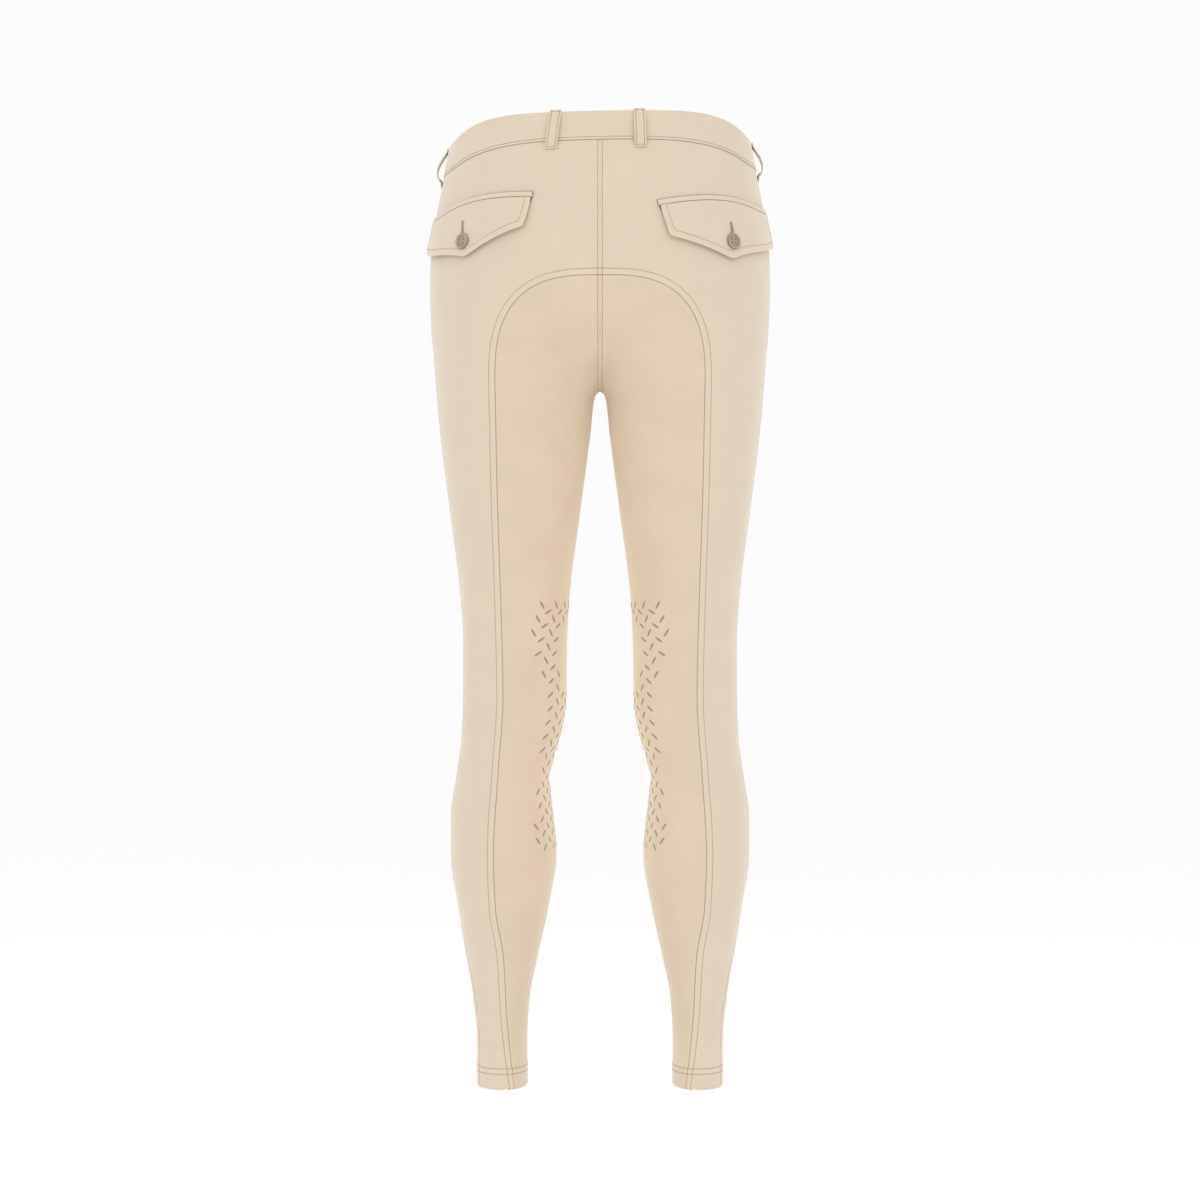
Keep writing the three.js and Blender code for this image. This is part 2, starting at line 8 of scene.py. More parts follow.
import bpy
import numpy as np
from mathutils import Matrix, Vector


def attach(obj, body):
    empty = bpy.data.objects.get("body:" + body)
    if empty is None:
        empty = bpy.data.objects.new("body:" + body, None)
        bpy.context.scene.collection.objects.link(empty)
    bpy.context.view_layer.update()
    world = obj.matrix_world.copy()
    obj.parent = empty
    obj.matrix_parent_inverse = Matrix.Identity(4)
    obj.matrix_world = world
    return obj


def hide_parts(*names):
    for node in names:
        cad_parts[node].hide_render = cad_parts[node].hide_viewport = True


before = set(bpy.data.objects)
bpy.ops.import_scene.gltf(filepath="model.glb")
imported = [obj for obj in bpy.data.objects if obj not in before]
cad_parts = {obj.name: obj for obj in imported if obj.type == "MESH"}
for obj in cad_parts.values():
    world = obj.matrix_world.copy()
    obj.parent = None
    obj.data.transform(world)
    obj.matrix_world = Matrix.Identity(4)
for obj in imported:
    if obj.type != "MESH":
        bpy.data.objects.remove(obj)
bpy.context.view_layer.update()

# Camera: level with the middle of the garment and straight behind it, with a long lens.
PICTURE_WIDTH = 1200
FOCAL_LENGTH = 3077  # in widths of one picture point
CAMERA_BACK = 3.2
CAMERA_HEIGHT = -0.475
SENSOR_WIDTH = 36

camera_data = bpy.data.cameras.new("camera")
camera_data.sensor_width = SENSOR_WIDTH
camera_data.lens = SENSOR_WIDTH * FOCAL_LENGTH / PICTURE_WIDTH
camera = bpy.data.objects.new("camera", camera_data)
camera.location = (0, CAMERA_BACK, CAMERA_HEIGHT)
camera.rotation_euler = (np.pi / 2, 0, np.pi)
bpy.context.scene.collection.objects.link(camera)
bpy.context.scene.camera = camera
bpy.context.scene.view_settings.view_transform = "Standard"

# Studio: white surroundings and a floor of pale paper well below the hems. Two soft boxes hang above the
# camera, a low one lights the inner legs, and a pair stands before the garment for the other sides.
FLOOR_HEIGHT = -1.3
FLOOR_REACH = 14.0
FLOOR_PAPER = ((251, 250, 249), (254, 253, 252))
FLOOR_GLOW = 0.03  # so that its far edge doesn't stand out from the background
SKY_LIGHT = 0.97
SOFT_BOXES = (
    # place, size and power
    ((-1.5, 2.9, 1.5), 1.3, 6),
    ((1.7, 2.8, 1.6), 1.3, 7),
    ((0, 3.6, -0.9), 1.6, 4),
    ((-2.0, -2.4, 1.4), 1.6, 8),
    ((2.0, -2.4, 1.4), 1.6, 8),
)
SHARP_EDGE = 55  # degrees between two faces, from which the edge between them is drawn sharp


class Wire:
    """An output socket of a material. An expression on wires and numbers adds the Math nodes for it."""

    def __init__(self, finish, socket):
        self.finish = finish
        self.socket = socket

    def maths(self, operation, *values):
        """Adds a Math node for an operation on wires and numbers."""
        return self.finish.node("ShaderNodeMath", {"operation": operation}, dict(enumerate(values)))

    def __add__(self, other):
        return self.maths("ADD", self, other)

    def __sub__(self, other):
        return self.maths("SUBTRACT", self, other)

    def __mul__(self, other):
        return self.maths("MULTIPLY", self, other)

    def __rsub__(self, other):
        return self.maths("SUBTRACT", other, self)

    __radd__ = __add__
    __rmul__ = __mul__

    def __abs__(self):
        return self.maths("ABSOLUTE", self)

    def sine(self):
        """The sine of the wire's value in radians."""
        return self.maths("SINE", self)

    def other(self, number):
        """Another output of the same node."""
        return Wire(self.finish, self.socket.node.outputs[number])

    def bell(self, middle, width):
        """exp(-((x - middle) / width)^2): 1 at the middle, fading to nothing on both sides."""
        off = (self - middle) * (1 / width)
        return self.maths("EXPONENT", off * off * -1)


class Finish:
    """A material whose nodes are added by one method, and whose surface is set at the end."""

    def __init__(self, name):
        self.material = bpy.data.materials.new(name)
        self.material.use_nodes = True
        self.tree = self.material.node_tree
        self.tree.nodes.clear()

    def node(self, kind, settings=None, sockets=None, output=0):
        """Adds a node: its settings are set first, then the values or wires of its sockets."""
        made = self.tree.nodes.new(kind)
        for key, value in (settings or {}).items():
            setattr(made, key, value)
        for key, value in (sockets or {}).items():
            if isinstance(value, Wire):
                self.tree.links.new(value.socket, made.inputs[key])
            else:
                made.inputs[key].default_value = value
        return Wire(self, made.outputs[output]) if made.outputs else None

    def here(self):
        """The place on the piece in metres."""
        return self.node("ShaderNodeTexCoord", output=3)

    def noise(self, where, scale, detail):
        """A cloudy value about 0.5, with scale clouds to the metre."""
        return self.node("ShaderNodeTexNoise", None, {"Vector": where, "Scale": scale, "Detail": detail})

    def field(self, name):
        """A value that put_mesh has stored at the points."""
        return self.node("ShaderNodeAttribute", {"attribute_name": name}, output=2)

    def between(self, share, first, second):
        """A colour that goes from one screen colour to another as share goes from 0 to 1."""
        ends = {0: share, 6: (*linear(*first), 1), 7: (*linear(*second), 1)}
        return self.node("ShaderNodeMix", {"data_type": "RGBA"}, ends, output=2)

    def scaled(self, colour, shade):
        """A colour made lighter or darker by a factor."""
        return self.node("ShaderNodeVectorMath", {"operation": "SCALE"}, {0: colour, 3: shade})

    def surface(self, colour, roughness, height=None, depth=0.001, **uniform):
        """Closes the material with a Principled surface. A bump's height of 1 stands for depth metres."""
        sockets = {"Base Color": colour, "Roughness": roughness, **uniform}
        if height is not None:
            bump = {"Height": height, "Distance": depth, "Strength": 1.0}
            sockets["Normal"] = self.node("ShaderNodeBump", None, bump)
        shader = self.node("ShaderNodeBsdfPrincipled", None, sockets)
        self.node("ShaderNodeOutputMaterial", None, {"Surface": shader})
        return self.material


def linear(red, green, blue):
    """A colour given as 8-bit screen values, as the linear values that Blender works with."""
    value = np.array([red, green, blue]) / 255
    return tuple(np.where(value <= 0.04045, value / 12.92, ((value + 0.055) / 1.055) ** 2.4))


def put_mesh(name, points, faces, material, cut=None, fields=None, smooth=True):
    """A mesh from points in millimetres and a list of faces, its faces turned outwards by its signed volume.

    cut gives each point's place on the flat cloth in metres, and fields its values for the material."""
    mesh = bpy.data.meshes.new(name)
    mesh.from_pydata((points * 0.001).tolist(), [], faces)
    mesh.calc_loop_triangles()
    corner = np.empty(len(mesh.loop_triangles) * 3, dtype=np.int32)
    mesh.loop_triangles.foreach_get("vertices", corner)
    a, b, c = points[corner.reshape(-1, 3).T]
    if (a * np.cross(b, c)).sum() < 0:
        mesh.flip_normals()
    if smooth:
        mesh.shade_smooth()
        mesh.set_sharp_from_angle(angle=np.radians(SHARP_EDGE))
    if cut is not None:
        corners = np.empty(len(mesh.loops), dtype=np.int32)
        mesh.loops.foreach_get("vertex_index", corners)
        mesh.uv_layers.new(name="cut").data.foreach_set("uv", cut[corners].ravel().astype(np.float32))
    for key, values in (fields or {}).items():
        layer = mesh.attributes.new(key, "FLOAT", "POINT")
        layer.data.foreach_set("value", np.ascontiguousarray(values, dtype=np.float32))
    mesh.materials.append(material)
    made = bpy.data.objects.new(name, mesh)
    bpy.context.scene.collection.objects.link(made)
    return made


world = bpy.data.worlds.new("studio")
world.use_nodes = True
world.node_tree.nodes["Background"].inputs["Color"].default_value = (1, 1, 1, 1)
world.node_tree.nodes["Background"].inputs["Strength"].default_value = SKY_LIGHT
bpy.context.scene.world = world

for number, (place, size, power) in enumerate(SOFT_BOXES):
    light = bpy.data.lights.new(f"soft_box_{number}", "AREA")
    light.shape = "DISK"
    light.size = size
    light.energy = power
    lamp = bpy.data.objects.new(f"soft_box_{number}", light)
    lamp.location = place
    lamp.rotation_euler = (Vector(place) - Vector((0, 0, CAMERA_HEIGHT))).to_track_quat("Z", "Y").to_euler()
    bpy.context.scene.collection.objects.link(lamp)

paper = Finish("floor_paper")
floor_colour = paper.between(paper.noise(paper.here(), 0.11, 2.0), *FLOOR_PAPER)
floor_glow = {"Emission Color": (1, 1, 1, 1), "Emission Strength": FLOOR_GLOW}
floor_corners = np.array([(-1, -1, 0), (1, -1, 0), (1, 1, 0), (-1, 1, 0)]) * FLOOR_REACH * 1000
floor = put_mesh(
    "floor",
    floor_corners + (0, 0, FLOOR_HEIGHT * 1000),
    [[0, 1, 2, 3]],
    paper.surface(floor_colour, 0.9, **floor_glow),
    smooth=False,
)

# Front panels: each is one piece of matt stretch twill from the waistband to the hem, cut on the straight
# grain. Its side edge goes under the back panel's and its inner edge lies over the seat panel's, where it is
# turned, pressed flat and topstitched.
CLOTH = 1.2  # its thickness
HEM_Z = -978
HEM_DEPTH = 22  # height of the doubled cloth
WAIST_SEAM_Z = -29
CROTCH_Z = -258
BACK_HIGH = 20.5  # how far the waist is raised behind, and lowered in front and at the sides
FRONT_LOW = 11
SIDE_LOW = 4.8
BACK_RISE_TOP = 25  # where the rise to the back starts, at the waistband's top and at its seam
BACK_RISE_SEAM = 40
BACK_RISE_SPAN = 85
FRONT_DIP_END = -120
DIP_FOOT = -230  # the level at which it has faded out
SIDEWAYS_LEAN = 0.02  # the waist slopes down to the wearer's left
SEAT_TOP = -155  # of the arch in the back: its top, half its width at the crotch and its superellipse's power
SEAT_WIDTH = 106
SEAT_POWER = 2.9
FRONT_TOP = -205
FRONT_WIDTH = 58
FRONT_POWER = 2.2
TOPSTITCH = 6.4  # from a seam to its row of stitches
TWIN_STITCH = 2.4  # from the centre seam to the row on either side
HEM_ROWS = (-956.2, -961.8)
WAIST_POINTS = 400  # on a line round the whole half
HEM_POINTS = 300
END_STEP = 0.8  # width of the cells beside a seam
ROW_STEP = 2.8
ROW_SAMPLES = 129  # points at which the length of a row is measured
CREAM = (218, 202, 181)
SEAT_CREAM = (216, 198, 174)
FILL_LIT_CREAM = (236, 219, 192)  # painted fill light: a paler colour inside the legs, where they shade each other
FILL_LIGHT_SPAN = 44  # degrees of turn to either side of the inner leg
FILL_LIGHT_LEVELS = (-900, -640)  # from here up to here the painted fill light comes in
TWILL_PITCH = 0.00085  # metres from rib to rib
TWILL_DEPTH = 0.0006
PALE_CREAM = (222, 206, 184)  # the lighter clouds of the cream twill's mottle
CENTRE_SOFT = 0.35  # the centre seams are pressed open, so their line of painted shade is fainter by this distance
SEAM_DIP = 0.45  # how deep the cloth dips into a seam
SEAM_PUFF = 0.4  # how far it is raised over the turned edges
STITCH_DENT = 0.22  # how deep a row of stitches pulls it in


def table(names, *rows):
    """A small table as a dictionary of its named columns."""
    return dict(zip(names.split(), np.array(rows, dtype=float).T))


SECTIONS = table(
    "z outer inner front back power bridge",
    (8, 155.5, -155.5, -111, 115, 2.4, 5),
    (0, 156.5, -156.5, -112, 116, 2.4, 5),
    (-29, 162, -162, -116, 119, 2.4, 8),
    (-80, 172.5, -168, -121, 124, 2.4, 20),
    (-116, 177.5, -148, -122, 128, 2.35, 26),
    (-156, 178, -92, -118, 128, 2.3, 26),
    (-196, 175.5, -38, -110, 121, 2.25, 18),
    (-226, 172, -13, -101, 110.5, 2.2, 10),
    (-258, 169.5, 5, -93.5, 102, 2.15, 5),
    (-264, 169, 7.4, -92.2, 100.4, 2.15, 5),
    (-306, 165, 11.5, -86, 91, 2.1, 5),
    (-390, 154.5, 22, -78, 78, 2.1, 5),
    (-472, 144.5, 32, -70, 67, 2.1, 5),
    (-520, 141.7, 34.5, -65, 60, 2.1, 5),
    (-580, 142, 35.5, -61, 56, 2.1, 5),
    (-620, 143.7, 42.5, -57, 56, 2.1, 5),
    (-659, 149, 52.8, -53, 59, 2.1, 5),
    (-700, 154.5, 48.8, -51, 65, 2.1, 5),
    (-740, 154.5, 45.4, -50, 67, 2.1, 5),
    (-790, 147.3, 53, -47, 60, 2.1, 5),
    (-846, 138.5, 65, -42, 49, 2.1, 5),
    (-888, 132, 73.2, -38, 44, 2.1, 5),
    (-930, 128, 75.6, -36, 43, 2.1, 5),
    (-978, 127.6, 75.6, -36, 43, 2.1, 5),
)
SEAT_SEAM = table(
    "z x",
    (-258, 106),
    (-370, 104.3),
    (-485, 101),
    (-575, 99.3),
    (-650, 104),
    (-735, 108.6),
    (-790, 106.8),
    (-840, 99),
    (-900, 95.8),
    (-978, 88),
)
FRONT_SEAM = table("z x", (-258, 58), (-370, 72), (-520, 78), (-650, 84), (-800, 88), (-978, 94))
SIDE_SEAM = table("z turn", (0, -3), (-790, -3), (-835, 6), (-870, 27), (-910, 36), (-978, 37))


def follow(rows, column):
    """A smooth curve through one column of a table, with no overshoot between its rows.

    Between two rows it is a cubic with a given slope at each: the harmonic mean of the slopes on both sides
    of the row, or level where those differ in sign."""
    level = rows["z"][::-1]
    value = rows[column][::-1]
    slope = np.diff(value) / np.diff(level)
    before, after = slope[:-1], slope[1:]
    mean = np.zeros_like(before)
    np.divide(2 * before * after, before + after, out=mean, where=before * after > 0)
    tangent = np.concatenate([slope[:1], mean, slope[-1:]])

    def curve(z):
        """The column's value at a level."""
        i = np.clip(np.searchsorted(level, z) - 1, 0, len(level) - 2)
        span = level[i + 1] - level[i]
        t = np.clip((z - level[i]) / span, 0, 1)
        between = value[i] + (value[i + 1] - value[i]) * t * t * (3 - 2 * t)
        leaving = t * (1 - t) ** 2 * span * tangent[i]
        arriving = t * t * (1 - t) * span * tangent[i + 1]
        return between + leaving - arriving

    return curve


outer_side = follow(SECTIONS, "outer")
inner_side = follow(SECTIONS, "inner")
front_depth = follow(SECTIONS, "front")
back_depth = follow(SECTIONS, "back")
roundness = follow(SECTIONS, "power")
bridge = follow(SECTIONS, "bridge")
seat_seam_x = follow(SEAT_SEAM, "x")
front_seam_x = follow(FRONT_SEAM, "x")
side_turn = follow(SIDE_SEAM, "turn")


def ease(x, start, end):
    """0 below start and 1 above end, with the smooth step 3t^2 - 2t^3 between them."""
    t = np.clip((x - start) / (end - start), 0, 1)
    return t * t * (3 - 2 * t)


def blend(start, end, share):
    """The value at a share of the way from start to end."""
    return start + (end - start) * share


def unit(vectors):
    """Vectors of the same directions, 1 long."""
    return vectors / np.linalg.norm(vectors, axis=-1, keepdims=True)


def middle_and_half(z):
    """How far the middle line of a half is from the centre plane at a level, and half the width there."""
    outer, inner = outer_side(z), inner_side(z)
    return (outer + inner) / 2, (outer - inner) / 2


def waist_dip(x, y, z):
    """How far a point near the waist is raised: the waist is worn higher at the back than at the front."""
    share = ease(z, DIP_FOOT, WAIST_SEAM_Z)
    start = blend(BACK_RISE_SEAM, BACK_RISE_TOP, ease(z, WAIST_SEAM_Z, 0))
    behind = BACK_HIGH * ease(y, start, start + BACK_RISE_SPAN)
    before = FRONT_LOW * (1 - ease(y, FRONT_DIP_END, start))
    return share * (behind - before - SIDE_LOW - SIDEWAYS_LEAN * x)


def skin(z, turn, side):
    """The outer face of one half, side 1 for the left and -1 for the right.

    At each level it is a superellipse |x / half|^n + |y / deep|^n = 1 about the half's middle line. Near the
    centre plane the distance from it becomes sqrt(x^2 - bridge^2), which spans the gap between the halves."""
    middle, half = middle_and_half(z)
    c, v = np.cos(np.radians(turn)), np.sin(np.radians(turn))
    deep = np.where(v >= 0, back_depth(z), -front_depth(z))
    n = roundness(z)
    reach = (np.abs(c / half) ** n + np.abs(v / deep) ** n) ** (-1 / n)
    raw = middle + reach * c
    x = side * np.sqrt(np.maximum(raw * raw - bridge(z) ** 2, 0))
    y = reach * v
    return np.stack([x, y, z + waist_dip(x, y, z)], axis=-1)


def turn_at(z, x, face):
    """The turn at which a level lies x from the centre plane, on the back (face 1) or on the front (-1)."""
    middle, half = middle_and_half(z)
    across = np.hypot(x, bridge(z)) - middle
    deep = back_depth(z) if face > 0 else -front_depth(z)
    n = roundness(z)
    depth = deep * np.maximum(1 - np.abs(across / half) ** n, 0) ** (1 / n)
    return np.degrees(np.arctan2(face * depth, across))


def place_of(points):
    """The level and turn of points on or near a half's face, which undoes skin()."""
    x, y, height = np.moveaxis(points, -1, 0)
    z = height
    for _ in range(4):
        z = height - waist_dip(x, y, z)
    middle, _ = middle_and_half(z)
    return z, np.degrees(np.arctan2(y, np.hypot(x, bridge(z)) - middle))


def outward(z, turn, side):
    """The unit normal of a half's face: the cross product of two short steps, round the half and up it."""
    step = 0.4
    wrap = np.where(turn > 180, turn - 360, turn)
    meeting = z > CROTCH_Z
    low = np.where(meeting, np.maximum(wrap - step, turn_at(z, 0, -1)), wrap - step)
    high = np.where(meeting, np.minimum(wrap + step, turn_at(z, 0, 1)), wrap + step)
    along = skin(z, high, side) - skin(z, low, side)
    up = skin(z + step, wrap, side) - skin(z - step, wrap, side)
    normal = np.cross(along, up) * side
    centred = np.abs(skin(z, wrap, side)[..., 0]) < 1e-3
    normal[..., 0] = np.where(centred, 0, normal[..., 0])
    return unit(normal)


def normals_over(points, side):
    """The unit normals of a half's face under points that lie on it or near it."""
    return outward(*place_of(points), side)


# The worn cloth's soft folds. lean is the fold's direction from upright, towards the back where positive, and
# side is 1 or -1 for one half alone, or 0 for both.
FOLD_DEEP = 1.7  # all their depths are scaled by this
CREASES = table(
    "side z turn lean length width depth",
    (0, -284, 128, 62, 34, 9, 0.9),
    (0, -306, 134, 66, 26, 8, 0.6),
    (0, -330, 150, 78, 30, 11, 0.7),
    (1, -232, 106, 40, 30, 12, 0.7),
    (-1, -226, 104, 36, 34, 12, 0.8),
    (1, -578, 96, 84, 26, 7, 0.6),
    (-1, -590, 88, 96, 24, 7, 0.55),
    (1, -612, 84, 100, 22, 6, 0.5),
    (-1, -622, 100, 82, 26, 7, 0.5),
    (0, -636, 150, 70, 26, 10, 0.8),
    (0, -660, 170, 80, 22, 8, 0.5),
    (1, -846, 60, 98, 24, 9, 0.6),
    (-1, -858, 70, 84, 22, 9, 0.6),
    (0, -896, 118, 88, 18, 7, 0.5),
    (0, -915, -60, 92, 18, 8, 0.5),
    (0, -262, -66, 52, 42, 12, 1.1),
    (0, -286, -74, 60, 36, 11, 0.9),
    (1, -240, -50, 58, 36, 13, 0.8),
    (-1, -246, -48, 62, 34, 13, 0.8),
    (0, -312, 236, 70, 28, 10, 0.7),
    (0, -566, -70, 88, 30, 12, 0.6),
    (0, -640, -84, 94, 28, 11, 0.7),
    (-1, -96, 72, 80, 26, 7, 0.5),
    (1, -128, 20, 24, 40, 15, 0.5),
    (-1, -136, 16, 28, 40, 15, 0.5),
)


def creases(z, turn, side):
    """The folds' height: each is a trough exp(-q^2) across its width with a lower ridge on both sides, fading
    as exp(-p^2) along its length."""
    fold = CREASES
    _, half = middle_and_half(fold["z"])
    radius = (half + back_depth(fold["z"])) / 2
    off = (np.asarray(turn)[..., None] - fold["turn"] + 180) % 360 - 180
    girth = np.radians(off) * radius
    up = np.asarray(z)[..., None] - fold["z"]
    lean = np.radians(fold["lean"])
    q = (girth * np.cos(lean) - up * np.sin(lean)) / fold["width"]
    p = (girth * np.sin(lean) + up * np.cos(lean)) / fold["length"]
    shape = 0.45 * np.exp(-((np.abs(q) - 1.7) ** 2)) - np.exp(-(q**2))
    on = (fold["side"] == 0) | (fold["side"] == side)
    return (on * fold["depth"] * FOLD_DEEP * shape * np.exp(-(p**2))).sum(-1)


def gap_to(points, curve):
    """Distance from points to a curve, a fine chain: to its nearest point, less the way along the curve."""
    step = np.gradient(curve, axis=0)
    size = np.linalg.norm(step, axis=1)
    heading = step / size[:, None]
    gaps = []
    for some in np.array_split(points, len(points) // 2000 + 1):
        square = (curve**2).sum(1) - 2 * some @ curve.T
        nearest = square.argmin(1)
        way = some - curve[nearest]
        along = np.clip((way * heading[nearest]).sum(1), -size[nearest], size[nearest])
        gaps.append(np.linalg.norm(way - along[:, None] * heading[nearest], axis=1))
    return np.concatenate(gaps)


def under_seam(gap):
    """The flat side of a seam, which only dips into it."""
    return -SEAM_DIP * np.exp(-(gap**2))


def over_seam(gap, row=TOPSTITCH):
    """The side of a seam that hides the turned edges: raised as far as its stitches, which pull it down."""
    raised = SEAM_PUFF * (1 - np.exp(-(gap**2))) * (1 - ease(gap, row + 0.6, row + 2.6))
    return under_seam(gap) + raised - STITCH_DENT * np.exp(-(((gap - row) / 0.8) ** 2))


def twin_seam(gap):
    """One side of a seam that is pressed open and stitched down on both sides."""
    return over_seam(gap, TWIN_STITCH) * 0.7


def band_seam(gap):
    """The upper edge sinks under the waistband."""
    return -0.3 * np.exp(-((gap / 2.0) ** 2))


def hem_fold(gap):
    """The folded lower edge is rounded, and the two rows of stitches sink into its doubled cloth."""
    rows = sum(np.exp(-(((gap - (row - HEM_Z)) / 0.8) ** 2)) for row in HEM_ROWS)
    doubled = 0.35 * (1 - ease(gap, HEM_DEPTH - 0.5, HEM_DEPTH + 1.5))
    return doubled - 0.9 * np.exp(-((gap / 0.9) ** 2)) - STITCH_DENT * rows


# Rows of the panels: an upper part from the waist seam (0) past the top of the rise's arch (5) to the crotch
# (13), and the levels of the leg, closer together at the waist seam, round the arch's top and at the hem.
WAIST_PART = 5
UPPER_PARTS = 13
upper = np.concatenate([np.linspace(0, 0.6, 13)[:-1], np.linspace(0.6, UPPER_PARTS, 94)])
step = np.arange(10) * END_STEP
over_arch = WAIST_PART * (1 - step / (WAIST_SEAM_Z - SEAT_TOP))
down_arch = WAIST_PART + (UPPER_PARTS - WAIST_PART) * (step / SEAT_WIDTH) ** (SEAT_POWER / 2) * 2 / np.pi
upper = np.unique(np.concatenate([upper, over_arch, down_arch]))
leg = np.concatenate(
    [
        np.arange(CROTCH_Z, -946, -ROW_STEP),
        np.arange(-946, HEM_Z, -1.1),
        [HEM_Z + 0.5, HEM_Z],
    ]
)
arch = (upper[upper >= WAIST_PART] - WAIST_PART) / (UPPER_PARTS - WAIST_PART)


def arched_seam(top, width, power, face):
    """Places down an arched seam, a quarter of a superellipse from the centre plane to the crotch's level."""
    angle = np.radians(90 * arch)
    z = CROTCH_Z + (top - CROTCH_Z) * np.maximum(np.cos(angle), 0) ** (2 / power)
    return z, turn_at(z, width * np.sin(angle) ** (2 / power), face)


def rise_seam(top, face):
    """Places down the centre seam from the arch's top to the crotch."""
    z = CROTCH_Z + (top - CROTCH_Z) * (1 - arch) ** 2
    return z, turn_at(z, 0, face)


def waist_part(top, face):
    """Places down the centre seam from the waist seam to an arch's top."""
    z = blend(WAIST_SEAM_Z, top, upper[upper < WAIST_PART] / WAIST_PART)
    return z, turn_at(z, 0, face)


def chain(*parts):
    """Seam parts joined end to end."""
    return np.concatenate([z for z, _ in parts]), np.concatenate([turn for _, turn in parts])


def leg_seam(turn):
    """Places down a leg, at one turn or at a turn for each level."""
    return leg, np.broadcast_to(turn, leg.shape)


back_arch = arched_seam(SEAT_TOP, SEAT_WIDTH, SEAT_POWER, 1)
front_arch = arched_seam(FRONT_TOP, FRONT_WIDTH, FRONT_POWER, -1)
back_rise = rise_seam(SEAT_TOP, 1)
front_rise = rise_seam(FRONT_TOP, -1)
centre_back = waist_part(SEAT_TOP, 1)
centre_front = waist_part(FRONT_TOP, -1)
hip_z = blend(WAIST_SEAM_Z, CROTCH_Z, upper / UPPER_PARTS)
side_hip = hip_z, side_turn(hip_z)
side_leg = leg_seam(side_turn(leg))
back_leg = leg_seam(turn_at(leg, seat_seam_x(leg), 1))
front_leg = leg_seam(turn_at(leg, front_seam_x(leg), -1))
inner_leg = leg_seam(180.0)


def distances(points):
    """The way along a line from its first point to each of its points."""
    return np.concatenate([[0], np.linalg.norm(np.diff(points, axis=0), axis=1).cumsum()])


def points_at(line, run, at):
    """Points of a line at given distances along it, where run is the distance to each of its own points."""
    return np.stack([np.interp(at, run, axis) for axis in line.T], axis=-1)


def fine_line(seam, side, step=1.5):
    """A seam as an evenly spaced chain of points on the cloth."""
    points = skin(*seam, side)
    run = distances(points)
    return points_at(points, run, np.linspace(0, run[-1], max(int(run[-1] / step), 2)))


def seams_of(side):
    """The seam lines and edges of one half."""
    round_waist = np.linspace(turn_at(WAIST_SEAM_Z, 0, -1), turn_at(WAIST_SEAM_Z, 0, 1), WAIST_POINTS)
    round_hem = np.linspace(-180, 180, HEM_POINTS)
    return {
        "side": fine_line(chain(side_hip, side_leg), side),
        "seat": fine_line(chain(back_arch, back_leg), side),
        "front": fine_line(chain(front_arch, front_leg), side),
        "centre_back": fine_line(chain(centre_back, back_rise), side),
        "centre_front": fine_line(chain(centre_front, front_rise), side),
        "waist": fine_line((np.full(WAIST_POINTS, float(WAIST_SEAM_Z)), round_waist), side),
        "hem": fine_line((np.full(HEM_POINTS, float(HEM_Z)), round_hem), side),
    }


SIDES = {"left": 1, "right": -1}
SEAMS = {side: seams_of(side) for side in SIDES.values()}
# For each kind of panel, its seams with the form that they give the cloth beside them, and the distance to
# their row of stitches on this panel, if it has one.
FOLDS = {
    "front": {
        "side": (under_seam, None),
        "front": (over_seam, TOPSTITCH),
        "centre_front": (twin_seam, None),
        "waist": (band_seam, None),
        "hem": (hem_fold, None),
    },
    "back": {
        "side": (over_seam, TOPSTITCH),
        "seat": (over_seam, TOPSTITCH),
        "centre_back": (twin_seam, TWIN_STITCH),
        "waist": (band_seam, None),
        "hem": (hem_fold, None),
    },
    "seat": {
        "seat": (under_seam, None),
        "front": (under_seam, None),
        "centre_back": (twin_seam, TWIN_STITCH),
        "centre_front": (twin_seam, TWIN_STITCH),
        "hem": (hem_fold, None),
    },
}


def relief(points, z, turn, side, kind):
    """How far the cloth stands out from the plain form: its folds, and what each seam does to it."""
    lift = creases(z, turn, side)
    for name, (form, _) in FOLDS[kind].items():
        lift = lift + form(gap_to(points, SEAMS[side][name]))
    return lift


def rows_between(first, second, columns, side, anchor):
    """Cells on rows that run from one seam to the next, straight in level and turn.

    Along a row the columns follow tanh of its real length, so that they are END_STEP apart beside each seam
    and wider in the middle. across is the way round the half from the anchor column, for the weave."""
    fine = np.sin(np.linspace(0, np.pi / 2, ROW_SAMPLES)) ** 2
    (z0, turn0), (z1, turn1) = first, second
    z = blend(z0[:, None], z1[:, None], fine)
    turn = blend(turn0[:, None], turn1[:, None], fine)
    steps = np.linalg.norm(np.diff(skin(z, turn, side), axis=1), axis=2)
    run = np.concatenate([np.zeros((len(z), 1)), steps.cumsum(1)], axis=1)
    length = run[:, -1:]
    pull = np.linspace(0.05, 5, 300)
    end_share = 0.5 - 0.5 * np.tanh(pull * (1 - 2 / columns)) / np.tanh(pull)
    tight = np.interp(-END_STEP / np.maximum(length, 1e-6), -end_share, pull)
    share = 0.5 + 0.5 * np.tanh(tight * np.linspace(-1, 1, columns + 1)) / np.tanh(tight)
    wanted = share * length
    below = np.clip((run[:, None, :] <= wanted[:, :, None]).sum(-1) - 1, 0, len(fine) - 2)
    start = np.take_along_axis(run, below, 1)
    end = np.take_along_axis(run, below + 1, 1)
    part = (wanted - start) / np.maximum(end - start, 1e-9)
    at = blend(fine[below], fine[below + 1], np.clip(part, 0, 1))
    z = blend(z0[:, None], z1[:, None], at)
    turn = blend(turn0[:, None], turn1[:, None], at)
    flat = skin(z, turn, side)[..., :2]
    walk = np.linalg.norm(np.diff(flat, axis=1), axis=2).cumsum(1)
    across = np.concatenate([np.zeros((len(z), 1)), walk], axis=1)
    return {"z": z, "turn": turn, "across": across - across[:, [anchor]]}


